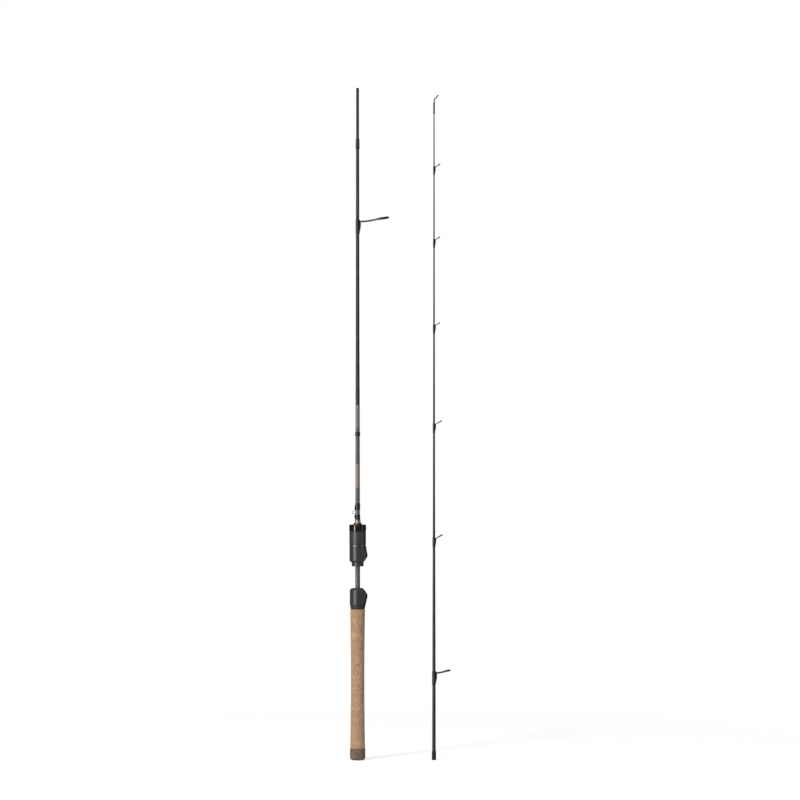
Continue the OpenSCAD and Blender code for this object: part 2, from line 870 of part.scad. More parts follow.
// The tube on the blank's end, two bent wires that meet the ring's sides, and the ring's band
module tip_top_frame() {
    wire_r = 0.75;
    wire_side = 0.85;
    straight = 6.5; // wire above the tube, below the bend
    bend_r = wire_r + 0.04; // the wire swells a little where it is bent
    tube_top = tip_tube_z + tip_tube_length;
    side_r = tip_ring_r - band_t(tip_ring_r) / 2;
    back = 0.3; // the wires meet the ring this part of its radius behind its middle
    color(gunmetal) {
        difference() {
            union() {
                translate([section_spacing, 0, tip_tube_z])
                    cylinder(h = tip_tube_length, r = tip_tube_d / 2);
                translate([section_spacing, 0, tube_top])
                    sphere(r = tip_tube_d / 2 * 0.98);
            }
            translate([section_spacing, 0, 0])
                blank_core(tip_stations);
        }
        difference() {
            for (side = [-1, 1]) {
                bend = [section_spacing, side * wire_side, tube_top + straight];
                translate([bend[0], bend[1], tube_top])
                    cylinder(h = straight, r = wire_r);
                translate(bend)
                    sphere(r = bend_r);
                wire(
                    bend,
                    [
                        section_spacing + tip_ring_offset - side_r * back,
                        side * side_r * 0.95,
                        tip_ring_z - side_r * back
                    ],
                    wire_r
                );
            }
            at_tip_ring()
                cylinder(h = 4, r = side_r, center = true);
        }
        at_tip_ring()
            rotate_extrude()
                translate([tip_ring_r - band_t(tip_ring_r), -band_h(tip_ring_r) / 2])
                    square([band_t(tip_ring_r), band_h(tip_ring_r)]);
    }
}

module tip_top_ring() {
    color(ceramic)
        at_tip_ring()
            hard_ring(tip_ring_r);
}

module tip_top_wrap() {
    color(thread)
        translate([section_spacing, 0, 0])
            thread_wrap(
                tip_stations, tip_tube_z - tip_wrap_length, tip_wrap_length, tip_tube_d / 2
            );
}

butt_blank();
butt_cap();
cork_grip();
fixed_hood();
fixed_hood_arbor();
seat_barrel();
barrel_arbor();
moving_hood();
thrust_ring();
lock_nut();
barrel_end_ring();
winding_check();
lower_keeper_wrap();
hook_keeper();
upper_keeper_wrap();
trim_wrap();
ferrule_wrap();
stripper_guide_frame();
stripper_guide_ring();
stripper_guide_wrap();
tip_blank();
socket_wrap();
guide_1_frame();
guide_1_ring();
guide_1_wrap();
guide_2_frame();
guide_2_ring();
guide_2_wrap();
guide_3_frame();
guide_3_ring();
guide_3_wrap();
guide_4_frame();
guide_4_ring();
guide_4_wrap();
guide_5_frame();
guide_5_ring();
guide_5_wrap();
guide_6_frame();
guide_6_ring();
guide_6_wrap();
tip_top_frame();
tip_top_ring();
tip_top_wrap();
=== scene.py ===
"""A two-piece spinning rod, taken down, its two sections standing side by side.

The CAD frame holds the sizes and the motion. This script builds the visible pieces round it:
turned parts, wrapped thread, bent wire, cork and moulded hoods, each with a procedural material.
Lengths are in metres, and names that end in _mm are in millimetres.
"""

import json
import math

import bmesh
import bpy
import numpy as np
from mathutils import Matrix, Vector, noise
from mathutils.bvhtree import BVHTree


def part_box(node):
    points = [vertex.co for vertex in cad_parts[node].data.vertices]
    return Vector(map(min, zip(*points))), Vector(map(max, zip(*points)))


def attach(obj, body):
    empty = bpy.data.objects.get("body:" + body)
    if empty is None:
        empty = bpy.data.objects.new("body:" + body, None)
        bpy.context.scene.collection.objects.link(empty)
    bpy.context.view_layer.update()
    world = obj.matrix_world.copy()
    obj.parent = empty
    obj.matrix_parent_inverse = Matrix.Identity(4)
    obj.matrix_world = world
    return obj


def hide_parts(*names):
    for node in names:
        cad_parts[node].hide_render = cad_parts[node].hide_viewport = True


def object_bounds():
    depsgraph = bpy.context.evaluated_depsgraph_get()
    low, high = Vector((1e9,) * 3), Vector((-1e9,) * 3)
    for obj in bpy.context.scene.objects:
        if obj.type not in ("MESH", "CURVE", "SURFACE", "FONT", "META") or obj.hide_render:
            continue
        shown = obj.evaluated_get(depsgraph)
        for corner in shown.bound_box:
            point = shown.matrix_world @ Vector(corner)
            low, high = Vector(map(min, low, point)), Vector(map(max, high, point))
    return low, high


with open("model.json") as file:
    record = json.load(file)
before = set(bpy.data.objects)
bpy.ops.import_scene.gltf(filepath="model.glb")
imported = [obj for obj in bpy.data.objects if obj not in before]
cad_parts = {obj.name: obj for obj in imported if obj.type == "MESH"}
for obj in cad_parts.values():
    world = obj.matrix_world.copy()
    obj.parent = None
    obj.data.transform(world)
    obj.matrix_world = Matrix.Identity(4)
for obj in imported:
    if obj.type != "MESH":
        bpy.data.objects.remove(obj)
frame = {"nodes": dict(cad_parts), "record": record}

MM = 0.001
cad_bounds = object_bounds()
bodies = frame["record"]["behaviour"]["bodies"]
body_of_node = {node: body for body, nodes in bodies.items() for node in nodes}


# ---- reading the frame


def cad_points(node):
    """A CAD node's vertices as an array."""
    return np.array([v.co[:] for v in frame["nodes"][node].data.vertices])


def middle(node):
    """The middle of a CAD node's box."""
    low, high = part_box(node)
    return (low + high) / 2


def span(node):
    """The lowest and highest height of a CAD node."""
    low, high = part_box(node)
    return low.z, high.z


def width(node):
    """A CAD node's size along Y, which is the diameter of a turned one."""
    low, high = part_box(node)
    return high.y - low.y


def radius_reader(node, from_outside=True):
    """A function of height that gives a turned CAD node's outer radius, or that of its bore."""
    mesh = frame["nodes"][node].data
    tree = BVHTree.FromPolygons([v.co for v in mesh.vertices], [p.vertices[:] for p in mesh.polygons])
    bottom, top = span(node)
    centre = middle(node)
    inside = 0.01 * MM
    start_y = centre.y - (0.1 if from_outside else 0.0)

    def radius(z):
        height = min(max(z, bottom + inside), top - inside)
        hit = tree.ray_cast(Vector((centre.x, start_y, height)), Vector((0, 1, 0)))[0]
        return abs(hit.y - centre.y)

    return radius


def bore_reader(node):
    """A function of height that gives the radius of a turned CAD node's bore."""
    return radius_reader(node, from_outside=False)


def clamp(value):
    return min(1.0, max(0.0, value))


class Blank:
    """A blank's place and its radius at any height."""

    def __init__(self, node):
        self.node = node
        self.x = middle(node).x
        self.radius = radius_reader(node)


BUTT = Blank("butt_blank")
TIP = Blank("tip_blank")
blank_in_handle = BUTT.radius(middle("cork_grip").z)


# ---- mesh code


class Shape:
    """Collects the faces of one piece. UVs are turns round the axis and metres along it."""

    def __init__(self):
        self.points = []
        self.faces = []
        self.uvs = []
        self.materials = []

    def grid(self, rows, uv_rows, closed_rows, material=0):
        """Joins rows of points into a sheet. closed_rows joins the last row to the first."""
        start = len(self.points)
        count = len(rows[0])
        for row in rows:
            self.points.extend(row)
        last = len(rows) if closed_rows else len(rows) - 1
        for i in range(last):
            k = (i + 1) % len(rows)
            index = material(i) if callable(material) else material
            v_low = uv_rows[i]
            v_high = uv_rows[k] if k else uv_rows[i] + MM
            here, above = start + i * count, start + k * count
            for j in range(count):
                n = (j + 1) % count
                self.faces.append((here + j, here + n, above + n, above + j))
                u_low, u_high = j / count, (j + 1) / count
                self.uvs.append(((u_low, v_low), (u_high, v_low), (u_high, v_high), (u_low, v_high)))
                self.materials.append(index)

    def cap(self, row_start, count, v):
        """Closes a row of points with one face."""
        self.faces.append(tuple(row_start + j for j in range(count)))
        self.uvs.append(tuple((j / count, v) for j in range(count)))
        self.materials.append(0)

    def revolve(self, outline, segments, axis_x=0, matrix=None, closed=True, material=0, shift=None):
        """A solid of revolution. outline holds (radius, height); radius 0 is a pole.

        shift(angle, radius, height) moves a point outwards by what it returns.
        """
        rows = []
        for radius, height in outline:
            row = []
            for j in range(segments):
                angle = 2 * math.pi * j / segments
                r = radius + (shift(angle, radius, height) if shift else 0.0)
                point = Vector((r * math.cos(angle), r * math.sin(angle), height))
                if matrix:
                    point = matrix @ point
                row.append((point.x + axis_x, point.y, point.z))
            rows.append(row)
        self.grid(rows, [height for _, height in outline], closed, material)

    def sweep(self, path, radii, sides=16):
        """A round wire along a path of points, with rounded ends."""
        if not isinstance(radii, list):
            radii = [radii] * len(path)
        stations = dome(path[0], path[1], radii[0])[::-1]
        stations += zip(path, radii)
        stations += dome(path[-1], path[-2], radii[-1])
        last = len(stations) - 1
        side = Vector((0, 1, 0))
        rows, lengths, travelled = [], [], 0.0
        for i, (centre, size) in enumerate(stations):
            ahead, behind = stations[min(i + 1, last)][0], stations[max(i - 1, 0)][0]
            along = (ahead - behind).normalized()
            side = (side - along * side.dot(along)).normalized()
            up = along.cross(side)
            row = []
            for j in range(sides):
                angle = 2 * math.pi * j / sides
                row.append((centre + (side * math.cos(angle) + up * math.sin(angle)) * size)[:])
            rows.append(row)
            travelled += (centre - behind).length
            lengths.append(travelled)
        start = len(self.points)
        self.grid(rows, lengths, False)
        self.cap(start, sides, 0.0)
        self.cap(start + last * sides, sides, travelled)


def dome(end, inner, radius):
    """Centres and radii that round off a wire, from its end outwards."""
    steps = 4
    outwards = (end - inner).normalized()
    angles = [math.pi / 2 * k / steps for k in range(1, steps + 1)]
    return [(end + outwards * radius * math.sin(a), max(radius * math.cos(a), 1e-6)) for a in angles]


def clean(mesh, reach):
    """Joins points closer than reach and turns every face outwards."""
    work = bmesh.new()
    work.from_mesh(mesh)
    bmesh.ops.remove_doubles(work, verts=work.verts, dist=reach)
    bmesh.ops.dissolve_degenerate(work, edges=work.edges, dist=1e-8)
    bmesh.ops.recalc_face_normals(work, faces=work.faces)
    work.to_mesh(mesh)
    work.free()


def piece(name, node, materials, shape, sharp_deg):
    """Makes the object of a shape, which stands for a CAD node and rides on its body."""
    mesh = bpy.data.meshes.new(name)
    mesh.from_pydata(shape.points, [], shape.faces)
    layer = mesh.uv_layers.new(name="metric")
    flat = [c for face in shape.uvs for uv in face for c in uv]
    layer.data.foreach_set("uv", np.array(flat, np.float32))
    mesh.polygons.foreach_set("material_index", shape.materials)
    for material in materials:
        mesh.materials.append(material)
    clean(mesh, 1e-7)
    place(name, node, mesh, sharp_deg)


def turned(name, node, materials, outline, segments, sharp_deg=40, **how):
    """A piece that is a solid of revolution. how holds Shape.revolve's other arguments."""
    shape = Shape()
    shape.revolve(outline, segments, **how)
    piece(name, node, materials, shape, sharp_deg)


def place(name, node, mesh, sharp_deg):
    """Puts a finished mesh in the scene in place of its CAD node."""
    mesh.polygons.foreach_set("use_smooth", [True] * len(mesh.polygons))
    mesh.set_sharp_from_angle(angle=math.radians(sharp_deg))
    mesh.name = name
    obj = bpy.data.objects.new(name, mesh)
    bpy.context.scene.collection.objects.link(obj)
    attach(obj, body_of_node[node])
    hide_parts(node)


def rounded(corners, radius, steps=4, closed=True):
    """An outline with its corners rounded: (radius, height), or with the corner's own rounding third."""
    count = len(corners)
    outline = []
    for i, corner in enumerate(corners):
        here = Vector(corner[:2])
        r = corner[2] if len(corner) > 2 else radius
        if r <= 0 or (not closed and i in (0, count - 1)):
            outline.append(tuple(here))
            continue
        before = Vector(corners[i - 1][:2]) - here
        after = Vector(corners[(i + 1) % count][:2]) - here
        half = before.angle(after) / 2
        reach = min(r / math.tan(half), 0.49 * before.length, 0.49 * after.length)
        start, end = here + before.normalized() * reach, here + after.normalized() * reach
        outline += [tuple(point) for point in bezier([start, here, end], steps) + [end]]
    return outline


def filled(outline, step):
    """The same outline with extra points, so that no stretch is longer than step."""
    dense = []
    for i, start in enumerate(outline):
        end = outline[(i + 1) % len(outline)]
        parts = max(1, math.ceil(math.dist(start, end) / step))
        dense += [tuple(Vector(start).lerp(Vector(end), k / parts)) for k in range(parts)]
    return dense


def bezier(points, steps):
    """Points along a curve of any degree, without its last point."""
    path = []
    for k in range(steps):
        level = points
        while len(level) > 1:
            level = [a.lerp(b, k / steps) for a, b in zip(level, level[1:])]
        path.append(level[0])
    return path


def spline(points, steps):
    """A smooth path through points (Catmull-Rom)."""
    points = [points[0] * 2 - points[1]] + points + [points[-1] * 2 - points[-2]]
    path = []
    for i in range(1, len(points) - 2):
        a, b, c, d = points[i - 1:i + 3]
        for k in range(steps):
            t = k / steps
            bend = (2 * a - 5 * b + 4 * c - d) * t ** 2 + (3 * b - a - 3 * c + d) * t ** 3
            path.append(0.5 * (2 * b + (c - a) * t + bend))
    path.append(points[-2])
    return path


# ---- material code


class Shader:
    """A node tree, written as calls that return sockets: a new material's, or the world's."""

    def __init__(self, name, world=None):
        self.material = world or bpy.data.materials.new(name)
        self.material.use_nodes = True
        self.tree = self.material.node_tree
        self.surface = self.tree.nodes["Background" if world else "Principled BSDF"]

    def add(self, kind, settings=None, **inputs):
        node = self.tree.nodes.new("ShaderNode" + kind)
        for key, value in (settings or {}).items():
            setattr(node, key, value)
        for key, value in inputs.items():
            self.feed(node.inputs[key.replace("_", " ")], value)
        return node

    def feed(self, socket, value):
        """Links a socket, or sets its value. None leaves it as it is."""
        if isinstance(value, bpy.types.NodeSocket):
            self.tree.links.new(value, socket)
        elif isinstance(value, tuple) and socket.type == "RGBA":
            socket.default_value = (*value, 1.0)
        elif value is not None:
            socket.default_value = value

    def finish(self, **inputs):
        """Sets the inputs of the surface and returns the material."""
        for key, value in inputs.items():
            self.feed(self.surface.inputs[key.replace("_", " ")], value)
        return self.material

    def math(self, operation, *values, kind="Math"):
        node = self.add(kind, {"operation": operation})
        for socket, value in zip(node.inputs, values):
            self.feed(socket, value)
        return node.outputs[0]

    def times(self, a, b):
        return self.math("MULTIPLY", a, b)

    def off_middle(self, value):
        """How far value is from the middle of the whole step it is in."""
        return self.math("ABSOLUTE", self.math("SUBTRACT", self.math("FRACT", value), 0.5))

    def hump(self, value):
        """Rises from 0 to 1 and falls again over every whole step of value."""
        return self.math("SINE", self.times(self.math("FRACT", value), math.pi))

    def spread(self, value, low, high):
        """Turns a 0 to 1 value into one from low to high."""
        return self.math("MULTIPLY_ADD", value, high - low, low)

    def between(self, value, low, high):
        """0 below low, 1 above high, smooth in between; low may be the larger."""
        smooth = {"interpolation_type": "SMOOTHSTEP"}
        return self.add("MapRange", smooth, Value=value, From_Min=low, From_Max=high).outputs[0]

    def turns_and_steps(self, step):
        """The piece's own UVs: turns round the axis, and steps of a length along it."""
        split = self.add("SeparateXYZ", Vector=self.add("UVMap", {"uv_map": "metric"}).outputs[0])
        return split.outputs[0], self.math("DIVIDE", split.outputs[1], step)

    def position(self, stretch=None, at=None):
        """Where a texture is read: at, or else the object's own coordinates, stretched."""
        vector = at or self.add("TexCoord").outputs["Object"]
        if stretch:
            vector = self.add("Mapping", Vector=vector, Scale=stretch).outputs[0]
        return vector

    def noise(self, scale, detail=3.0, roughness=0.55, stretch=None, at=None):
        vector = self.position(stretch, at)
        node = self.add("TexNoise", Vector=vector, Scale=scale, Detail=detail, Roughness=roughness)
        return node.outputs["Fac"]

    def cells(self, scale, feature="F1", stretch=None, at=None):
        vector = self.position(stretch, at)
        return self.add("TexVoronoi", {"feature": feature}, Vector=vector, Scale=scale).outputs["Distance"]

    def ramp(self, value, stops):
        node = self.add("ValToRGB", Fac=value)
        elements = node.color_ramp.elements
        while len(elements) < len(stops):
            elements.new(0.5)
        for element, (position, colour) in zip(elements, stops):
            element.position = position
            element.color = (*colour, 1.0)
        return node.outputs[0]

    def blend(self, factor, a, b):
        """A number between a and b."""
        node = self.add("Mix", {"data_type": "FLOAT"}, Factor=factor)
        self.feed(node.inputs[2], a)
        self.feed(node.inputs[3], b)
        return node.outputs[0]

    def mix(self, factor, a, b):
        """A colour between a and b."""
        node = self.add("Mix", {"data_type": "RGBA"}, Factor=factor)
        self.feed(node.inputs[6], a)
        self.feed(node.inputs[7], b)
        return node.outputs[2]

    def stain(self, base, mask, amount, colour):
        """Mixes a colour over base where mask is 1, as much as amount says."""
        return self.mix(self.times(mask, amount), base, colour)

    def bump(self, height, depth_mm, strength, under=None):
        depth = depth_mm * MM
        return self.add("Bump", Height=height, Strength=strength, Distance=depth, Normal=under).outputs[0]


def carbon_cloth(name, marks=None):
    """2 by 2 twill of carbon under clear lacquer, each tow painted darker towards its edges as shade.
    marks(shader) may give (mask, colour) of a print.
    """
    dark, light, tows, tow_pitch = (0.044, 0.045, 0.047), (0.112, 0.115, 0.117), 14.0, 1.4 * MM
    fibre_scale, fibre_stretch = 5200.0, 0.02
    shader = Shader(name)
    turns, along = shader.turns_and_steps(tow_pitch)
    across = shader.times(turns, tows)
    step = shader.math("ADD", shader.math("FLOOR", across), shader.math("FLOOR", along))
    lengthwise = shader.math("LESS_THAN", shader.math("FLOORED_MODULO", step, 4.0), 1.5)
    height = shader.blend(lengthwise, shader.hump(along), shader.hump(across))
    round_fibres = shader.noise(fibre_scale, 1.0, stretch=(fibre_stretch, fibre_stretch, 1.0))
    long_fibres = shader.noise(fibre_scale, 1.0, stretch=(1.0, 1.0, fibre_stretch))
    fibres = shader.blend(lengthwise, round_fibres, long_fibres)
    worn = shader.noise(160.0, stretch=(1.0, 1.0, 0.25))
    # painted shade: each tow darkens towards its edges by its hump height; fibres and worn noise add real
    # tone
    tow_shade_and_grain = shader.spread(shader.math("POWER", height, 0.7), 0.34, 0.96)
    tow_shade_and_grain = shader.times(tow_shade_and_grain, shader.spread(fibres, 0.78, 1.23))
    tow_shade_and_grain = shader.times(tow_shade_and_grain, shader.spread(worn, 0.62, 1.42))
    tow = shader.mix(lengthwise, dark, light)
    colour = shader.add("VectorMath", {"operation": "SCALE"}, Vector=tow, Scale=tow_shade_and_grain).outputs[0]
    if marks:
        mask, paint = marks(shader)
        colour = shader.mix(mask, colour, paint)
    return shader.finish(
        Base_Color=colour,
        Roughness=shader.spread(height, 0.50, 0.38),
        Metallic=0.1,
        Specular_IOR_Level=0.4,
        Coat_Weight=0.3,
        Coat_Roughness=0.2,
        Normal=shader.bump(height, 0.04, 0.4),
    )


def diamond_marks(repeat, half_width, low, high, paint):
    """A row of plain diamonds between two heights, on two sides of the blank."""

    def marks(shader):
        turns, steps = shader.turns_and_steps(repeat)
        along = shader.times(shader.off_middle(steps), 1.6)
        across = shader.off_middle(shader.math("MULTIPLY_ADD", turns, 2.0, 0.08))
        shape = shader.math("ADD", along, shader.math("DIVIDE", across, half_width))
        diamond = shader.between(shape, 1.06, 0.94)
        gap = shader.times(shader.between(shape, 0.62, 0.56), shader.between(shape, 0.40, 0.46))
        lined = shader.times(diamond, shader.math("SUBTRACT", 1.0, gap))
        above = shader.math("GREATER_THAN", steps, low / repeat)
        below = shader.math("LESS_THAN", steps, high / repeat)
        return shader.times(lined, shader.times(above, below)), paint

    return marks


def lacquered_blank(name):
    """The tapered blank: fine fibre streaks and a faint tape spiral under a thin lacquer."""
    dark, olive, tape_pitch = (0.011, 0.0113, 0.0094), (0.030, 0.031, 0.0235), 3.4 * MM
    shader = Shader(name)
    turns, steps = shader.turns_and_steps(tape_pitch)
    streaks = shader.noise(2600.0, 2.0, stretch=(1.0, 1.0, 0.02))
    cloud = shader.blend(0.35, streaks, shader.noise(24.0, 2.0))
    tape = shader.between(shader.off_middle(shader.math("ADD", turns, steps)), 0.36, 0.5)
    return shader.finish(
        Base_Color=shader.mix(shader.between(cloud, 0.32, 0.68), dark, olive),
        Roughness=shader.spread(streaks, 0.34, 0.46),
        Specular_IOR_Level=0.26,
        Coat_Weight=0.15,
        Coat_Roughness=0.26,
        Normal=shader.bump(tape, 0.02, 0.35, shader.bump(streaks, 0.01, 0.3)),
    )


def sanded_ferrule():
    """The bare end that goes into the socket: ground round and round, with rub marks along it."""
    dark, grey, bright = (0.013, 0.013, 0.013), (0.026, 0.026, 0.026), (0.055, 0.055, 0.053)
    shader = Shader("sanded_ferrule")
    rings = shader.noise(9000.0, 2.0, stretch=(0.05, 0.05, 1.0))
    rubs = shader.between(shader.noise(1400.0, stretch=(1.0, 1.0, 0.06)), 0.5, 0.72)
    return shader.finish(
        Base_Color=shader.stain(shader.mix(rings, dark, grey), rubs, 0.5, bright),
        Roughness=shader.spread(rings, 0.45, 0.62),
        Specular_IOR_Level=0.25,
        Normal=shader.bump(rings, 0.012, 0.5),
    )


def wrapped_thread(name):
    """Thread laid side by side, seen through clear varnish, with a painted sheen on each thread's crest.
    """
    dark, light, thread_pitch = (0.003, 0.003, 0.0035), (0.012, 0.012, 0.0135), 0.19 * MM
    shader = Shader(name)
    turns, steps = shader.turns_and_steps(thread_pitch)
    ridge = shader.hump(shader.math("ADD", steps, turns))
    twist = shader.noise(1500.0, 1.0, stretch=(1.0, 1.0, 3.0))
    return shader.finish(
        # painted sheen: the lighter colour rides on each thread's crest, broken by the twist noise
        Base_Color=shader.mix(shader.times(ridge, shader.spread(twist, 0.4, 1.1)), dark, light),
        Roughness=shader.spread(twist, 0.38, 0.55),
        Specular_IOR_Level=0.3,
        Coat_Weight=0.35,
        Coat_Roughness=0.16,
        Normal=shader.bump(ridge, 0.03, 0.4),
    )


def cork_material(bottom, pitch):
    """Turned cork: every ring has its own tone, dark pores, short streaks and a filled glue line."""
    shader = Shader("turned_cork")
    position = shader.position()
    height = shader.add("SeparateXYZ", Vector=position).outputs[2]
    in_rings = shader.math("DIVIDE", shader.math("SUBTRACT", height, bottom), pitch)
    ring = shader.math("FLOOR", in_rings)
    seed = shader.math("ADD", ring, 3.5)
    tone = shader.add("TexWhiteNoise", {"noise_dimensions": "1D"}, W=seed).outputs["Value"]
    offset = shader.add("CombineXYZ", X=shader.times(ring, 0.37), Y=shader.times(tone, 0.2))
    at = shader.math("ADD", position, offset.outputs[0], kind="VectorMath")

    def holes(scale, length, rim, cloud_scale, cloud_rim):
        """Round holes, only in the patches that a cloud leaves open."""
        cells = shader.cells(scale, stretch=(1.0, 1.0, length), at=at)
        cloud = shader.noise(cloud_scale, 1.0, at=at)
        return shader.times(shader.between(cells, *rim), shader.between(cloud, *cloud_rim))

    pores = holes(300.0, 0.6, (0.34, 0.16), 170.0, (0.53, 0.62))
    small_pores = holes(560.0, 0.5, (0.27, 0.12), 300.0, (0.50, 0.58))
    specks = holes(820.0, 1.0, (0.22, 0.10), 420.0, (0.48, 0.60))
    walls = shader.cells(780.0, "DISTANCE_TO_EDGE", (1.0, 1.0, 0.7), at)
    grain = shader.noise(260.0, 5.0, 0.62, (1.0, 1.0, 0.55), at)
    fine = shader.noise(1500.0, 3.0, 0.6, (1.0, 1.0, 0.55), at)
    dust = shader.noise(4200.0, 2.0, 0.7, at=at)
    streaks = shader.noise(900.0, 3.0, 0.65, (0.5, 0.5, 2.2), at)
    from_seam = shader.off_middle(shader.math("ADD", in_rings, 0.5))
    colour = shader.ramp(grain, [
        (0.30, (0.235, 0.138, 0.078)), (0.52, (0.345, 0.218, 0.127)), (0.74, (0.445, 0.298, 0.188)),
    ])
    for mask, amount, stain in (
        (tone, 0.42, (0.262, 0.158, 0.097)),
        (shader.between(walls, 0.10, 0.0), 0.20, (0.180, 0.098, 0.055)),
        (shader.between(dust, 0.50, 0.68), 0.38, (0.165, 0.090, 0.050)),
        (shader.between(streaks, 0.54, 0.70), 0.45, (0.190, 0.105, 0.058)),
        (specks, 0.60, (0.150, 0.066, 0.036)),
        (small_pores, 0.70, (0.095, 0.045, 0.025)),
        (pores, 0.88, (0.075, 0.036, 0.021)),
        (shader.between(from_seam, 0.034, 0.008), 0.42, (0.190, 0.110, 0.065)),
    ):
        colour = shader.stain(colour, mask, amount, stain)
    skin = shader.math("ADD", shader.times(fine, 0.35), shader.times(dust, 0.3))
    pits = shader.math("ADD", shader.times(pores, 0.9), shader.times(small_pores, 0.6))
    return shader.finish(
        Base_Color=colour,
        Roughness=shader.spread(fine, 0.74, 0.92),
        Specular_IOR_Level=0.25,
        Sheen_Weight=0.08,
        Normal=shader.bump(shader.math("SUBTRACT", skin, pits), 0.22, 0.75),
    )


def rubberised_cork():
    """Cork granules bound in dark rubber."""
    rubber, dirt, dusty = (0.072, 0.050, 0.038), (0.060, 0.040, 0.030), (0.165, 0.108, 0.076)
    granule_scale, shake = 820.0, 1.1 * MM
    shader = Shader("rubberised_cork")
    position = shader.position()
    wobble = shader.add("TexNoise", Vector=position, Scale=1100.0, Detail=2.0).outputs["Color"]
    bent = shader.math("MULTIPLY_ADD", wobble, (shake, shake, shake), position, kind="VectorMath")
    granules = shader.add("TexVoronoi", {"feature": "F1"}, Vector=bent, Scale=granule_scale)
    pick = shader.add("SeparateColor", Color=granules.outputs["Color"]).outputs[0]
    granule = shader.ramp(pick, [
        (0.0, (0.060, 0.040, 0.030)), (0.4, (0.118, 0.077, 0.053)),
        (0.8, (0.185, 0.120, 0.081)), (1.0, (0.300, 0.205, 0.138)),
    ])
    edge = shader.between(shader.cells(granule_scale, "DISTANCE_TO_EDGE", at=bent), 0.0, 0.16)
    cloud = shader.noise(220.0)
    grit = shader.between(shader.noise(3600.0, 2.0, 0.7), 0.5, 0.7)
    gritty = shader.stain(shader.mix(edge, rubber, granule), grit, 0.4, dirt)
    return shader.finish(
        Base_Color=shader.stain(gritty, cloud, 0.4, dusty),
        Roughness=shader.spread(cloud, 0.68, 0.88),
        Specular_IOR_Level=0.3,
        Normal=shader.bump(edge, 0.10, 0.6),
    )


def moulded_plastic(name, colour, rough_low, rough_high, grain_scale=2600.0, grain_mm=0.02, edge_amount=0.35):
    """Moulded nylon: fine spark grain, faint flow clouds, and convex edges a little brighter."""
    clouded, edge_colour = (tuple(c * 1.22 for c in colour), tuple(c * 2.1 + 0.012 for c in colour))
    shader = Shader(name)
    cloud = shader.noise(75.0)
    edge = shader.between(shader.add("NewGeometry").outputs["Pointiness"], 0.52, 0.60)
    body = shader.mix(shader.between(cloud, 0.35, 0.7), colour, clouded)
    return shader.finish(
        Base_Color=shader.stain(body, edge, edge_amount, edge_colour),
        Roughness=shader.spread(cloud, rough_low, rough_high),
        Specular_IOR_Level=0.45,
        Normal=shader.bump(shader.noise(grain_scale, 2.0, 0.5), grain_mm, 0.45),
    )


def turned_metal(name, colour, dark, roughness):
    """Metal with fine rings from the lathe."""
    shader = Shader(name)
    rings = shader.noise(5200.0, 2.0, stretch=(0.03, 0.03, 1.0))
    return shader.finish(
        Base_Color=shader.mix(shader.between(shader.noise(180.0), 0.38, 0.72), colour, dark),
        Metallic=1.0,
        Roughness=shader.spread(rings, roughness * 0.8, roughness * 1.3),
        Normal=shader.bump(rings, 0.008, 0.4),
    )


def plated_wire(name, colour, dark, roughness, metallic=1.0):
    """Drawn and plated wire, its plating a little duller in places."""
    shader = Shader(name)
    cloud = shader.noise(420.0)
    return shader.finish(
        Base_Color=shader.mix(shader.between(cloud, 0.40, 0.75), colour, dark),
        Metallic=metallic,
        Roughness=shader.spread(cloud, roughness * 0.75, roughness * 1.5),
        Normal=shader.bump(shader.noise(2600.0, 2.0), 0.006, 0.35),
    )


def polished_ceramic():
    """The guides' hard rings: fired, polished and almost black, slightly clouded."""
    shader = Shader("polished_ceramic")
    cloud = shader.noise(900.0, 2.0)
    return shader.finish(
        Base_Color=shader.mix(cloud, (0.016, 0.016, 0.018), (0.034, 0.034, 0.036)),
        Roughness=shader.spread(cloud, 0.07, 0.16),
        Specular_IOR_Level=0.75,
        Normal=shader.bump(cloud, 0.004, 0.2),
    )


def cell_foam():
    """The arbors' foam: open cells in a straw colour, each cell's hollow painted darker as shade."""
    shader = Shader("cell_foam")
    cell = shader.cells(1600.0, "SMOOTH_F1")
    return shader.finish(
        # painted shade: the colour darkens towards each cell's centre, where the bump sinks
        Base_Color=shader.mix(cell, (0.24, 0.18, 0.10), (0.52, 0.43, 0.27)),
        Roughness=shader.spread(cell, 0.85, 0.95),
        Normal=shader.bump(cell, 0.1, 0.8),
    )


# ---- turned pieces


def build_blank(name, blank, zones, materials, segments):
    """A tapered tube. zones holds (top height, material index) from the bottom up."""
    step = 10 * MM
    bottom, top = span(blank.node)
    bore = bore_reader(blank.node)
    heights = {bottom, top, *(z for z, _ in zones if bottom < z < top)}
    heights = sorted(heights.union(np.arange(bottom + step, top, step).tolist()))
    outside = [(blank.radius(z), z) for z in heights]
    inside = [(bore(z), z) for z in reversed(heights) if bore(z) < blank.radius(z) - 0.02 * MM]
    through = inside[0][1] > top - 0.1 * MM
    if through:
        outline = outside + inside
    else:
        outline = [(0.0, inside[0][1])] + inside + outside + [(0.0, top)]

    def zone_of_row(i):
        height = (outline[i][1] + outline[(i + 1) % len(outline)][1]) / 2 - 1e-9
        return next(index for zone_top, index in zones if height < zone_top)

    how = {"axis_x": blank.x, "closed": through, "material": zone_of_row}
    turned(name, blank.node, materials, outline, segments, **how)


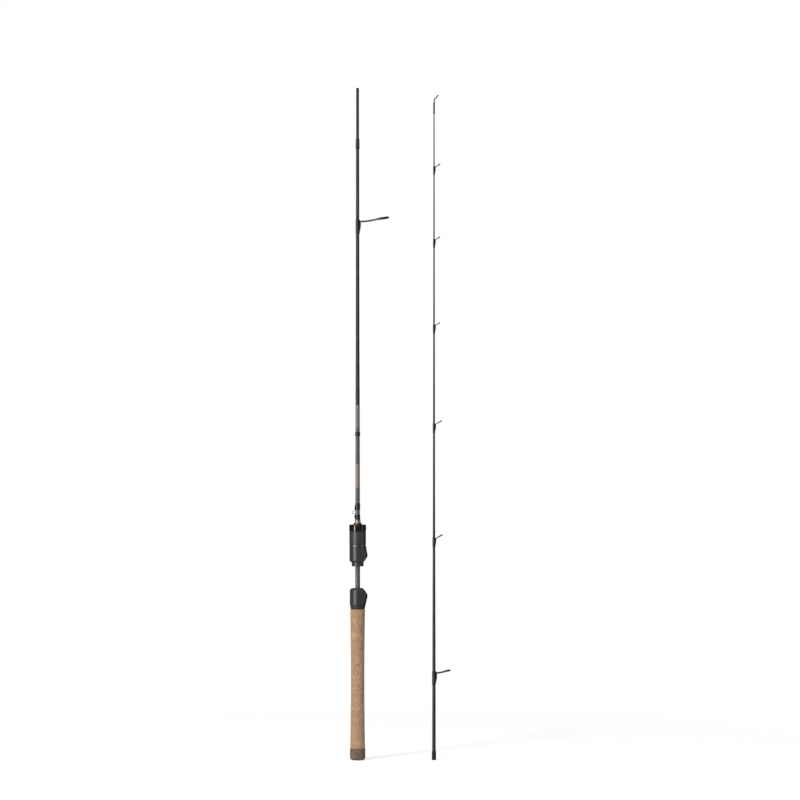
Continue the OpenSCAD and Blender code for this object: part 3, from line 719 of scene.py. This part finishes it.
def butt_cap_piece():
    """The butt cap: a rounded plug of rubberised cork, its skin slightly granular."""
    bottom, top = span("butt_cap")
    r = width("butt_cap") / 2
    rounding, edge, hole_floor, step = 5 * MM, 0.5 * MM, 4 * MM, 0.5 * MM
    corners = [
        (0.0, bottom), (r, bottom, rounding), (r, top, edge),
        (blank_in_handle, top, 0), (blank_in_handle, hole_floor, 0), (0.0, hole_floor),
    ]
    outline = rounded(corners, 0, steps=10, closed=False)
    outline = filled(outline, step)[:-1]
    while outline[-1][0] <= step / 4 and outline[-1][1] < hole_floor - step / 4:
        outline.pop()

    def granular(angle, radius, height):
        if radius < blank_in_handle + MM or height > top - edge:
            return 0.0
        at = Vector((radius * math.cos(angle), radius * math.sin(angle), height)) * 900
        return 0.07 * MM * (noise.noise(at) - 0.4)

    material = rubberised_cork()
    turned("butt_cap_skin", "butt_cap", [material], outline, 150, closed=False, shift=granular)


def cork_piece():
    """Eighteen cork rings turned together: shallow glue lines, open pores and a hand-worn skin."""
    bottom, top = span("cork_grip")
    rings = round((top - bottom) / (12.7 * MM))
    pitch = (top - bottom) / rings
    rows = round((top - bottom) / (0.6 * MM))
    middle_z = (bottom + top) / 2
    radius = radius_reader("cork_grip")
    end_r, waist_r = radius(bottom + 0.2 * MM), radius(middle_z + pitch / 2)
    seam_half, seam_depth, pore_depth, edge_high = 0.45 * MM, 0.10 * MM, 0.28 * MM, 0.6 * MM

    def worn(angle, r, height):
        if r < blank_in_handle + MM:
            return 0.0
        from_seam = abs(((height - bottom) / pitch + 0.5) % 1 - 0.5) * pitch
        groove = seam_depth * max(0.0, 1 - from_seam / seam_half)
        at = Vector((r * math.cos(angle), r * math.sin(angle), height * 0.75))
        ring_offset = Vector((7.3, 1.7, 0)) * int((height - bottom) / pitch)
        nearest = noise.voronoi(at * 330 + ring_offset)[0][0]
        open_here = noise.noise(at * 150 + ring_offset) > 0.12
        pore = pore_depth * max(0.0, 1 - nearest / 0.42) if open_here else 0.0
        skin = 0.05 * MM * (noise.noise(at * 700) - 1)
        eased = 0.25 * MM * max(0.0, 1 - min(height - bottom, top - height) / edge_high)
        return skin - groove - pore - eased

    outline = []
    for k in range(rows + 1):
        z = bottom + (top - bottom) * k / rows
        from_waist = (z - middle_z) / (top - middle_z)
        outline.append((waist_r + (end_r - waist_r) * from_waist ** 2, z))
    outline += [(blank_in_handle, top), (blank_in_handle, bottom)]
    turned("cork_handle", "cork_grip", [cork_material(bottom, pitch)], outline, 132, 55, shift=worn)


def barrel_piece(material):
    """The threaded barrel, with a plain collar at its foot and a keyway down its back."""
    bottom, top = span("seat_barrel")
    r = width("seat_barrel") / 2
    floor, cavity, edge, step = 3 * MM, 7.5 * MM, 0.6 * MM, 0.25 * MM
    pitch, depth, collar = 2.5 * MM, 0.55 * MM, 12 * MM
    half_root, flank = 0.18, 0.14
    key_half, key_depth = 1.5 * MM, 0.8 * MM
    key_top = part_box("barrel_end_ring")[0].z
    corners = [
        (r, bottom, edge), (r, top, 0), (cavity, top, 0), (cavity, bottom + floor, 0),
        (blank_in_handle, bottom + floor, 0), (blank_in_handle, bottom, 0),
    ]

    def threaded(angle, radius, height):
        if radius < r - edge - 0.01 * MM:
            return 0.0
        if math.cos(angle) < 0 and abs(radius * math.sin(angle)) < key_half and height < key_top:
            return -key_depth
        if not bottom + collar < height < key_top:
            return 0.0
        from_root = abs((height / pitch - angle / (2 * math.pi)) % 1 - 0.5)
        crest = clamp((from_root - half_root) / flank)
        run_out = min(1.0, (height - bottom - collar) / pitch)
        return -depth * (1 - crest) * run_out

    outline = filled(rounded(corners, 0), step)
    turned("threaded_barrel", "seat_barrel", [material], outline, 120, 30, shift=threaded)


def ring_piece(name, node, material, corners, rounding=0.25 * MM):
    """A turned ring from its corners (radius, height, own rounding)."""
    turned(name, node, [material], rounded(corners, rounding), 96, 35, axis_x=middle(node).x)


def lock_nut_piece(material):
    """The lock nut: a smooth soft-touch sleeve with a fine groove near each end."""
    low, high = span("lock_nut")
    r = width("lock_nut") / 2
    bore = bore_reader("lock_nut")((low + high) / 2)
    groove, inset, depth = 0.5 * MM, 2.2 * MM, 0.3 * MM
    corners = [(bore, low, 0.1 * MM), (r - 0.1 * MM, low, 0.7 * MM)]
    for start in (low + inset, high - inset - groove):
        corners += [
            (r, start, 0.12 * MM), (r - depth, start + 0.1 * MM, 0.05 * MM),
            (r - depth, start + groove - 0.1 * MM, 0.05 * MM), (r, start + groove, 0.12 * MM),
        ]
    corners += [(r - 0.1 * MM, high, 0.7 * MM), (bore, high, 0.1 * MM)]
    ring_piece("soft_lock_nut", "lock_nut", material, corners)


def end_ring_piece(material):
    """The gloss ring that ends the barrel: rounded edges, one fine groove, a bore stepped inside."""
    low, high = span("barrel_end_ring")
    r = width("barrel_end_ring") / 2
    counterbore = width("seat_barrel") / 2
    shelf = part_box("seat_barrel")[1].z
    groove, slope, floor, depth = low + 6.6 * MM, 0.3 * MM, 0.4 * MM, 0.35 * MM
    corners = [
        (counterbore, low, 0.1 * MM), (r, low, 1.0 * MM),
        (r, groove, 0.25 * MM), (r - depth, groove + slope, 0.15 * MM),
        (r - depth, groove + slope + floor, 0.15 * MM), (r, groove + 2 * slope + floor, 0.25 * MM),
        (r, high, 1.1 * MM), (blank_in_handle, high, 0.1 * MM),
        (blank_in_handle, shelf, 0), (counterbore, shelf, 0),
    ]
    ring_piece("gloss_end_ring", "barrel_end_ring", material, corners)


def winding_check_piece(copper, shaded_copper):
    """The check: a copper rim painted dark brown as shade, then a copper trumpet curve that ends in a
    beaded collar.
    """
    low, high = span("winding_check")
    r = width("winding_check") / 2
    rim_top = low + 2 * MM
    collar_r = BUTT.radius(high) + 0.75 * MM
    curve_start, curve_end, curve_points = rim_top + 0.1 * MM, high - 1.9 * MM, 8
    corners = [(BUTT.radius(low), low, 0), (r, low, 0.4 * MM), (r, rim_top, 0.4 * MM)]
    corners.append((r - 0.7 * MM, rim_top, 0.1 * MM))
    for k in range(1, curve_points):
        t = k / curve_points
        radius = collar_r + (r - 0.8 * MM - collar_r) * (1 - t) ** 1.8
        corners.append((radius, curve_start + (curve_end - curve_start) * t, 0))
    corners += [
        (collar_r - 0.15 * MM, curve_end, 0.1 * MM), (collar_r, curve_end + 0.2 * MM, 0.2 * MM),
        (collar_r, high, 0.3 * MM), (BUTT.radius(high), high, 0),
    ]
    outline = rounded(corners, 0.1 * MM)
    # the rim's rows get a dark brown copper: painted shade on the check's lower rim
    shaded_rim_rows = {i for i, (_, z) in enumerate(outline) if z < rim_top + 0.3 * MM}
    how = {"axis_x": BUTT.x, "material": lambda i: int(i in shaded_rim_rows)}
    turned("copper_check", "winding_check", [copper, shaded_copper], outline, 96, 35, **how)


def thrust_ring_piece(material):
    """The plain steel washer between the moving hood and the lock nut."""
    low, high = span("thrust_ring")
    r = width("thrust_ring") / 2
    bore = bore_reader("thrust_ring")((low + high) / 2)
    corners = [(bore, low), (r, low), (r, high), (bore, high)]
    ring_piece("steel_thrust_ring", "thrust_ring", material, corners, 0.2 * MM)


# ---- wraps


UNDER = 0.06 * MM  # how far a wrap's inner face lies inside the blank


def meniscus(z, low, high, taper):
    """Varnish thickness along a wrap, as a part of its full thickness."""
    edge = min(z - low, high - z) / taper
    return math.sin(math.pi / 2 * clamp(edge)) ** 0.8


def wrap_piece(name, node, blank, material, taper=1.6 * MM):
    """A plain wrap: thread under varnish, slightly fuller in the middle."""
    low, high = span(node)
    half, middle_z = (high - low) / 2, (low + high) / 2
    full = width(node) / 2 - blank.radius(middle_z)
    rows = max(16, round((high - low) / (0.35 * MM)))
    outline = []
    for k in range(rows + 1):
        z = middle_z - half * math.cos(math.pi * k / rows)
        swell = 1 - 0.18 * ((z - middle_z) / half) ** 2
        thickness = 0.015 * MM + full * swell * meniscus(z, low, high, taper)
        outline.append((blank.radius(z) + thickness, z))
    outline += [(blank.radius(z) - UNDER, z) for z in (high, low)]
    turned(name, node, [material], outline, 56, 60, axis_x=blank.x)


def hull_radius(angles, blank_r, foot_at, foot_r):
    """Polar radius of a string pulled round the blank and a foot beside it."""
    around = np.linspace(-math.pi, math.pi, 181)
    support = np.maximum(blank_r, foot_at * np.cos(around) + foot_r)
    turn = angles[:, None] - around[None, :]
    facing = np.cos(turn)
    reach = np.where(facing > 0.05, support[None, :] / np.maximum(facing, 0.05), np.inf)
    return reach.min(axis=1)


def foot_wrap_piece(name, node, blank, foot_r, foot_ends, rise, fall, side, material, top=None):
    """A wrap over a foot: the thread bridges from the blank to the foot.

    The foot comes up over the length rise from its lower end, and goes down over the length fall
    to its upper end. top is where the thread ends, if that isn't where the CAD wrap ends.
    """
    thickness, taper = 0.45 * MM, 1.8 * MM
    low, high = span(node)
    high = top or high
    rows = round((high - low) / (0.3 * MM))
    angles = np.linspace(0, 2 * math.pi, 64, endpoint=False)
    from_foot = angles if side > 0 else angles - math.pi

    def row(reaches, z):
        return [(blank.x + r * math.cos(a), r * math.sin(a), z) for r, a in zip(reaches, angles)]

    sheet = []
    heights = [low + (high - low) * k / rows for k in range(rows + 1)]
    for z in heights:
        present = clamp(min((z - foot_ends[0]) / rise, (foot_ends[1] - z) / fall))
        foot = foot_r * present * present * (3 - 2 * present)
        cover = thickness * meniscus(z, low, high, taper) + 0.02 * MM
        blank_r = blank.radius(z)
        sheet.append(row(hull_radius(from_foot, blank_r + cover, blank_r + 0.6 * foot, foot + cover), z))
    for z in (high, low):
        sheet.append(row([blank.radius(z) - UNDER] * len(angles), z))
    shape = Shape()
    shape.grid(sheet, heights + [high, low], True)
    piece(name, node, [material], shape, 60)


# ---- guides


def from_axis(points, axis):
    """How far each point is from an axis through the origin, and how far along it."""
    along = points @ np.array(axis)
    return np.linalg.norm(points - np.outer(along, np.array(axis)), axis=1), along


class Guide:
    """Sizes of one guide, read from its CAD nodes."""

    def __init__(self, prefix):
        self.prefix = prefix
        self.centre = middle(prefix + "_ring")
        ring = cad_points(prefix + "_ring") - np.array(self.centre)
        normal = Vector(np.linalg.svd(ring)[2][2])
        self.n = normal if normal.z > 0 else -normal
        self.u = Vector((self.n.z, 0, -self.n.x))
        radii, heights = from_axis(ring, self.n)
        self.seat_r, self.hole_r = float(radii.max()), float(radii.min())
        self.lip = float(np.abs(heights).max())
        self.points = cad_points(prefix + "_frame")
        from_centre = self.points - np.array(self.centre)
        band = from_centre[from_centre @ np.array(self.u) > 0.3 * self.seat_r]
        radii, heights = from_axis(band, self.n)
        self.ring_r, self.half_band = float(radii.max()), float(np.abs(heights).max())
        self.low = float(self.points[:, 2].min())
        foot = self.points[self.points[:, 2] < self.low + 0.5 * MM]
        self.wire_r = float(foot[:, 1].max() - foot[:, 1].min()) / 2
        self.foot_x = float(foot[:, 0].max()) - self.wire_r

    def root(self):
        """Where the ring's plane meets the line of the foot."""
        return self.centre - self.u * ((self.centre.x - self.foot_x) / self.u.x)

    def matrix(self):
        """Takes the ring's own axes to the scene's, with its centre in place."""
        turn = Matrix((self.u, self.n.cross(self.u), self.n)).transposed()
        return Matrix.Translation(self.centre) @ turn.to_4x4()

    def on_ring(self, angle, side, radius):
        """A point on the ring's circle; angle 0 is the side nearest the blank."""
        across = Vector((0, side, 0)) * math.sin(angle)
        return self.centre + (across - self.u * math.cos(angle)) * radius

    def add_band(self, shape):
        """The metal band round the hard ring, with rolled edges."""
        inner, outer, half = self.seat_r, self.ring_r, self.half_band
        corners = [(inner, -half), (outer, -half), (outer, half), (inner, half)]
        shape.revolve(rounded(corners, 0.45 * (outer - inner)), 64, matrix=self.matrix())


def guide_frame_piece(guide, blank_r, ground, material):
    """A single-foot guide: two wires leave the foot together, part, and hold the ring's sides."""
    w = guide.wire_r
    foot_r, leg_r, gap, bend, overlap = 0.8 * w, 1.05 * w, 0.2 * w, 2.4 * w, 0.5
    root = guide.root()
    side_r = (guide.ring_r + guide.seat_r) / 2
    tangent = math.acos(side_r / (guide.centre - root).length)
    leaves_level = guide.u.z < 0.3
    away = Vector((1, 0, 0)) if leaves_level else guide.u
    shape = Shape()
    for side in (-1, 1):

        def at(x, z):
            return Vector((x, side * gap, z))

        join = guide.on_ring(tangent, side, side_r)
        along = (guide.on_ring(tangent + 0.02, side, side_r) - join).normalized()
        ground_low = at(blank_r + 0.2 * w, guide.low + 0.3 * w)
        ground_high = at(guide.foot_x, guide.low + ground)
        rise = Vector((0, 0, 0.4 * ground))
        path = bezier([ground_low, ground_low + rise, ground_high - rise, ground_high], 6)
        corner = at(guide.foot_x, root.z)
        start = corner - Vector((0, 0, bend))
        out = corner + away * bend + Vector((0, side * 0.25 * w, 0))
        path.append(ground_high.lerp(start, 0.5))
        path += bezier([start, start.lerp(corner, 0.6), out.lerp(corner, 0.6), out], 8)
        pull = 0.36 * (join - out).length
        path += bezier([out, out + away * pull, join - along * pull, join], 20)
        path += [guide.on_ring(tangent + overlap * k / 4, side, side_r) for k in range(5)]
        radii = []
        for point in path:
            drawn = clamp((point.x - guide.foot_x) / bend)
            thin = min(1.0, 0.4 + 0.6 * (point.z - guide.low) / ground)
            radii.append((foot_r + (leg_r - foot_r) * drawn) * thin)
        shape.sweep(path, radii, 18)
    guide.add_band(shape)
    piece(guide.prefix + "_wireform", guide.prefix + "_frame", [material], shape, 45)


def guide_ring_piece(guide, material):
    """The hard ring: flat where it sits in the band, rounded where the line runs."""
    lip, inner, outer = guide.lip, guide.hole_r, guide.seat_r
    middle_r, steps = outer - 0.25 * (outer - inner), 14
    outline = [(outer, -0.7 * lip), (outer, 0.7 * lip)]
    for k in range(steps + 1):
        angle = math.pi * k / steps
        outline.append((middle_r - (middle_r - inner) * math.sin(angle), lip * math.cos(angle)))
    name, node = guide.prefix + "_hard_ring", guide.prefix + "_ring"
    turned(name, node, [material], outline, 72, 50, matrix=guide.matrix())


def build_guide(prefix, blank, frame_material, ring_material, wrap_material):
    """One guide, with the wrap that holds its foot."""
    guide = Guide(prefix)
    ground = 0.72 * (span(prefix + "_wrap")[1] - guide.low)
    guide_frame_piece(guide, blank.x + blank.radius(guide.low), ground, frame_material)
    guide_ring_piece(guide, ring_material)
    above_leg = 2.6 * guide.wire_r
    top = guide.root().z + above_leg
    foot_wrap_piece(
        prefix + "_thread", prefix + "_wrap", blank, guide.wire_r,
        (guide.low - 0.35 * ground, top), 1.35 * ground, above_leg, 1, wrap_material, top,
    )


def tip_top_pieces(frame_material, ring_material, wrap_material):
    """The tip-top: a tube over the blank's end, and two wires that carry the ring."""
    guide = Guide("tip_top")
    low, tube_r = guide.low, guide.wire_r
    to_axis = np.hypot(guide.points[:, 0] - TIP.x, guide.points[:, 1])
    tube_top = float(guide.points[to_axis < 1.01 * tube_r][:, 2].max()) - tube_r
    wire_r, wire_side, straight, sunk = 0.9 * MM, 0.75 * MM, 5.6 * MM, 2 * MM
    join_angle, end_angle = 1.15, 1.7
    blank_r = TIP.radius(low)
    corners = [
        (blank_r, low, 0), (tube_r, low, 0.25 * MM), (tube_r, tube_top, 0.6 * MM),
        (0.62 * tube_r, tube_top + 0.9 * tube_r, 0.5 * MM), (0.0, tube_top + 0.95 * tube_r, 0),
    ]
    inside = [(0.0, low + MM), (blank_r * 0.9, low + MM)]
    shape = Shape()
    shape.revolve(inside + rounded(corners, 0, 6, closed=False), 48, TIP.x, closed=False)
    side_r = (guide.ring_r + guide.seat_r) / 2
    for side in (-1, 1):
        join, past = (guide.on_ring(angle, side, side_r) for angle in (join_angle, end_angle))
        hold = Vector((TIP.x + 0.35 * tube_r, side * wire_side, tube_top))
        bend = hold + Vector((0, 0, straight))
        stops = [hold - Vector((0, 0, sunk)), hold, hold.lerp(bend, 0.5), bend]
        stops += [bend.lerp(join, 0.5), join, past]
        shape.sweep(spline(stops, 6), wire_r, 14)
    guide.add_band(shape)
    piece("tip_top_wireform", "tip_top_frame", [frame_material], shape, 45)
    guide_ring_piece(guide, ring_material)
    wrap_piece("tip_top_thread", "tip_top_wrap", TIP, wrap_material, taper=0.8 * MM)


def hook_keeper_piece(material):
    """A bent wire loop, its two feet under the wraps above and below."""
    low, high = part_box("hook_keeper")
    wire_r = width("hook_keeper") / 2
    loop_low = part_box("lower_keeper_wrap")[1].z
    loop_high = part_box("upper_keeper_wrap")[0].z
    centre = (loop_low + loop_high) / 2
    bow_r = (loop_high - loop_low) / 2 - 1.5 * MM
    bow_x = low.x + wire_r + bow_r
    foot_x = BUTT.x - BUTT.radius(loop_low) - wire_r

    def leg(side, end_z, loop_z):
        """The wire from its end, under a wrap, to the bow. side is -1 below and 1 above."""
        return [
            Vector((foot_x + 0.8 * wire_r, 0, end_z - side * wire_r)),
            Vector((foot_x, 0, loop_z + side * 2.5 * MM)),
            Vector((foot_x, 0, loop_z)),
            Vector((foot_x - 0.25 * wire_r, 0, centre + side * (bow_r + 0.9 * wire_r))),
            Vector((foot_x - 1.6 * wire_r, 0, centre + side * bow_r)),
        ]

    angles = [math.pi * (k / 6 - 0.5) for k in range(7)]
    bow = [Vector((bow_x - bow_r * math.cos(a), 0, centre + bow_r * math.sin(a))) for a in angles]
    path = spline(leg(-1, low.z, loop_low) + bow + leg(1, high.z, loop_high)[::-1], 7)
    last = len(path) - 1
    radii = [wire_r * min(1.0, 0.45 + 0.55 * min(k, last - k) / 7) for k in range(last + 1)]
    shape = Shape()
    shape.sweep(path, radii, 18)
    piece("keeper_loop", "hook_keeper", [material], shape, 50)


# ---- moulded pieces


def moulded_piece(name, node, material):
    """A hood: the CAD shape remade in small even facets, so that every edge takes a moulded radius."""
    source = frame["nodes"][node].data.copy()
    clean(source, 1e-6)
    holder = bpy.data.objects.new(name + "_holder", source)
    bpy.context.scene.collection.objects.link(holder)
    for facet, smoothing in ((0.30 * MM, 5), (0.285 * MM, 12)):
        remesh = holder.modifiers.new("Remesh", "REMESH")
        remesh.mode = "VOXEL"
        remesh.voxel_size = facet
        smooth = holder.modifiers.new("Smooth", "SMOOTH")
        smooth.factor = 0.5
        smooth.iterations = smoothing
    depsgraph = bpy.context.evaluated_depsgraph_get()
    mesh = bpy.data.meshes.new_from_object(holder.evaluated_get(depsgraph))
    bpy.data.objects.remove(holder)
    bpy.data.meshes.remove(source)
    mesh.materials.clear()
    mesh.materials.append(material)
    place(name, node, mesh, 75)


# ---- the rod


ABOVE_ALL = 2.0  # higher than anything on the rod


def build_butt_section():
    """The handle, the reel seat and the lower blank, from the butt cap to the male ferrule."""
    trim_low, trim_high = span("trim_wrap")
    plain_top, copper_low, copper_high = 440 * MM, 446 * MM, 485 * MM
    pale_low, pale_high, cloth_top = trim_high + 7 * MM, trim_high + 43 * MM, trim_high + 45 * MM
    ferrule_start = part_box("ferrule_wrap")[1].z
    copper_marks = diamond_marks(7.8 * MM, 0.52, copper_low, copper_high, (0.215, 0.150, 0.125))
    pale_marks = diamond_marks(5.2 * MM, 0.60, pale_low, pale_high, (0.135, 0.137, 0.117))
    zones = [(plain_top, 0), (trim_low, 1), (cloth_top, 2), (ferrule_start, 3), (ABOVE_ALL, 4)]
    build_blank("butt_section_blank", BUTT, zones, [
        carbon_cloth("carbon_cloth"),
        carbon_cloth("carbon_cloth_copper_marks", copper_marks),
        carbon_cloth("carbon_cloth_pale_marks", pale_marks),
        lacquered_blank("olive_lacquer"),
        sanded_ferrule(),
    ], 48)
    butt_cap_piece()
    cork_piece()
    nylon = moulded_plastic("seat_nylon", (0.024, 0.024, 0.023), 0.32, 0.42)
    moulded_piece("fixed_hood_shell", "fixed_hood", nylon)
    moulded_piece("moving_hood_shell", "moving_hood", nylon)
    barrel_piece(nylon)
    lock_nut_piece(moulded_plastic("soft_touch", (0.026, 0.026, 0.024), 0.36, 0.46, 4200.0, 0.012, 0.2))
    thrust_ring_piece(turned_metal("thrust_ring_metal", (0.42, 0.42, 0.40), (0.22, 0.22, 0.21), 0.32))
    end_ring_piece(moulded_plastic("gloss_black", (0.006, 0.006, 0.006), 0.06, 0.12, 900.0, 0.004, 0.0))
    winding_check_piece(
        turned_metal("copper_anodised", (0.47, 0.375, 0.32), (0.34, 0.26, 0.215), 0.52),
        # dark brown copper for the check's rim: painted shade, not a second metal
        turned_metal("copper_painted_shade", (0.120, 0.078, 0.048), (0.070, 0.044, 0.026), 0.34),
    )
    thread = wrapped_thread("wrapped_thread")
    wrap_piece("trim_thread", "trim_wrap", BUTT, thread)
    wrap_piece("ferrule_thread", "ferrule_wrap", BUTT, thread)
    low, high = span("hook_keeper")
    over = 1.5 * MM
    for prefix in ("lower_keeper", "upper_keeper"):
        foot_wrap_piece(
            prefix + "_thread", prefix + "_wrap", BUTT, width("hook_keeper") / 2,
            (low - over, high + over), 2 * over, 2 * over, -1, thread,
        )
    hook_keeper_piece(plated_wire("keeper_steel", (0.44, 0.45, 0.46), (0.30, 0.305, 0.315), 0.30, 0.75))


def build_guides():
    """The stripper guide on the butt section, six guides and the tip-top on the tip section."""
    frames = plated_wire("gunmetal_wire", (0.080, 0.082, 0.068), (0.040, 0.041, 0.035), 0.38)
    ceramic = polished_ceramic()
    thread = wrapped_thread("guide_thread")
    build_guide("stripper_guide", BUTT, frames, ceramic, thread)
    for number in range(1, 7):
        build_guide(f"guide_{number}", TIP, frames, ceramic, thread)
    tip_top_pieces(frames, ceramic, thread)
    wrap_piece("socket_thread", "socket_wrap", TIP, thread)


def build_tip_section():
    """The upper blank, one material from its socket to the tip."""
    build_blank("tip_section_blank", TIP, [(ABOVE_ALL, 0)], [lacquered_blank("tip_lacquer")], 40)


def dress_arbors():
    """The hidden foam arbors keep their CAD shape and get a foam material."""
    foam = cell_foam()
    for node in ("fixed_hood_arbor", "barrel_arbor"):
        obj = frame["nodes"][node]
        if not obj.material_slots:
            obj.data.materials.append(foam)
        for slot in obj.material_slots:
            slot.link = "OBJECT"
            slot.material = foam


# ---- the studio


def studio_floor():
    """A white floor that fades out into the white room."""
    shader = Shader("studio_floor")
    distance = shader.add("VectorMath", {"operation": "LENGTH"}, Vector=shader.position())
    fade = shader.between(distance.outputs["Value"], 0.35, 0.95)
    shader.finish(
        Base_Color=(0.60, 0.60, 0.60),
        Roughness=0.9,
        Specular_IOR_Level=0.1,
        Emission_Color=(1.0, 1.0, 1.0),
        Emission_Strength=0.52,
    )
    clear = shader.add("BsdfTransparent")
    blend = shader.add("MixShader")
    for socket, value in zip(blend.inputs, (fade, shader.surface.outputs[0], clear.outputs[0])):
        shader.feed(socket, value)
    shader.feed(shader.tree.nodes["Material Output"].inputs[0], blend.outputs[0])
    place_at = (TIP.x / 2, 0, cad_bounds[0][2] - 0.05 * MM)
    bpy.ops.mesh.primitive_circle_add(vertices=64, radius=1.2, fill_type="NGON", location=place_at)
    floor = bpy.context.object
    floor.name = "studio_floor"
    floor.visible_glossy = False
    floor.data.materials.append(shader.material)


def white_room():
    """White to the camera and dimmer in reflections, so that dark edges stay dark."""
    to_camera, to_surfaces, to_gloss = 1.0, 0.42, 0.08
    world = bpy.data.worlds.new("white_room")
    bpy.context.scene.world = world
    shader = Shader("white_room", world)
    rays = shader.add("LightPath").outputs
    dimmed = shader.blend(rays["Is Glossy Ray"], to_surfaces, to_gloss)
    level = shader.blend(rays["Is Camera Ray"], dimmed, to_camera)
    shader.finish(Color=(1.0, 1.0, 1.0), Strength=level)


def aimed(name, data, location, aim):
    """Puts a lamp or the camera in the scene, pointed at aim."""
    obj = bpy.data.objects.new(name, data)
    obj.location = location
    obj.rotation_euler = (Vector(aim) - Vector(location)).to_track_quat("-Z", "Y").to_euler()
    bpy.context.scene.collection.objects.link(obj)
    return obj


def area_light(name, location, size_x, size_y, power, gloss=1.0):
    data = bpy.data.lights.new(name, "AREA")
    data.shape = "RECTANGLE"
    data.size, data.size_y = size_x, size_y
    data.energy, data.specular_factor = power, gloss
    aimed(name, data, location, (0.06, 0, 0.5))


def camera_in_front():
    """Straight on, through a long lens, with room above for the tip section when it is lifted."""
    low, high = cad_bounds
    look_at = Vector(((low[0] + high[0]) / 2, 0, (low[2] + high[2]) / 2 + 0.04))
    data = bpy.data.cameras.new("camera")
    data.lens = 165
    bpy.context.scene.camera = aimed("camera", data, look_at + Vector((0, -6.0, 0.10)), look_at)


def light_the_studio():
    """A strong key from the left, a weak fill from the right and a soft light overhead."""
    area_light("key", (-1.5, -1.7, 0.8), 0.5, 2.2, 62)
    area_light("fill", (2.2, -0.9, 0.8), 0.3, 2.0, 6, 0.35)
    area_light("overhead", (0.06, -0.4, 2.6), 1.4, 1.4, 16)


build_butt_section()
build_tip_section()
build_guides()
dress_arbors()
studio_floor()
white_room()
light_the_studio()
camera_in_front()
bpy.context.scene.view_settings.view_transform = "Standard"
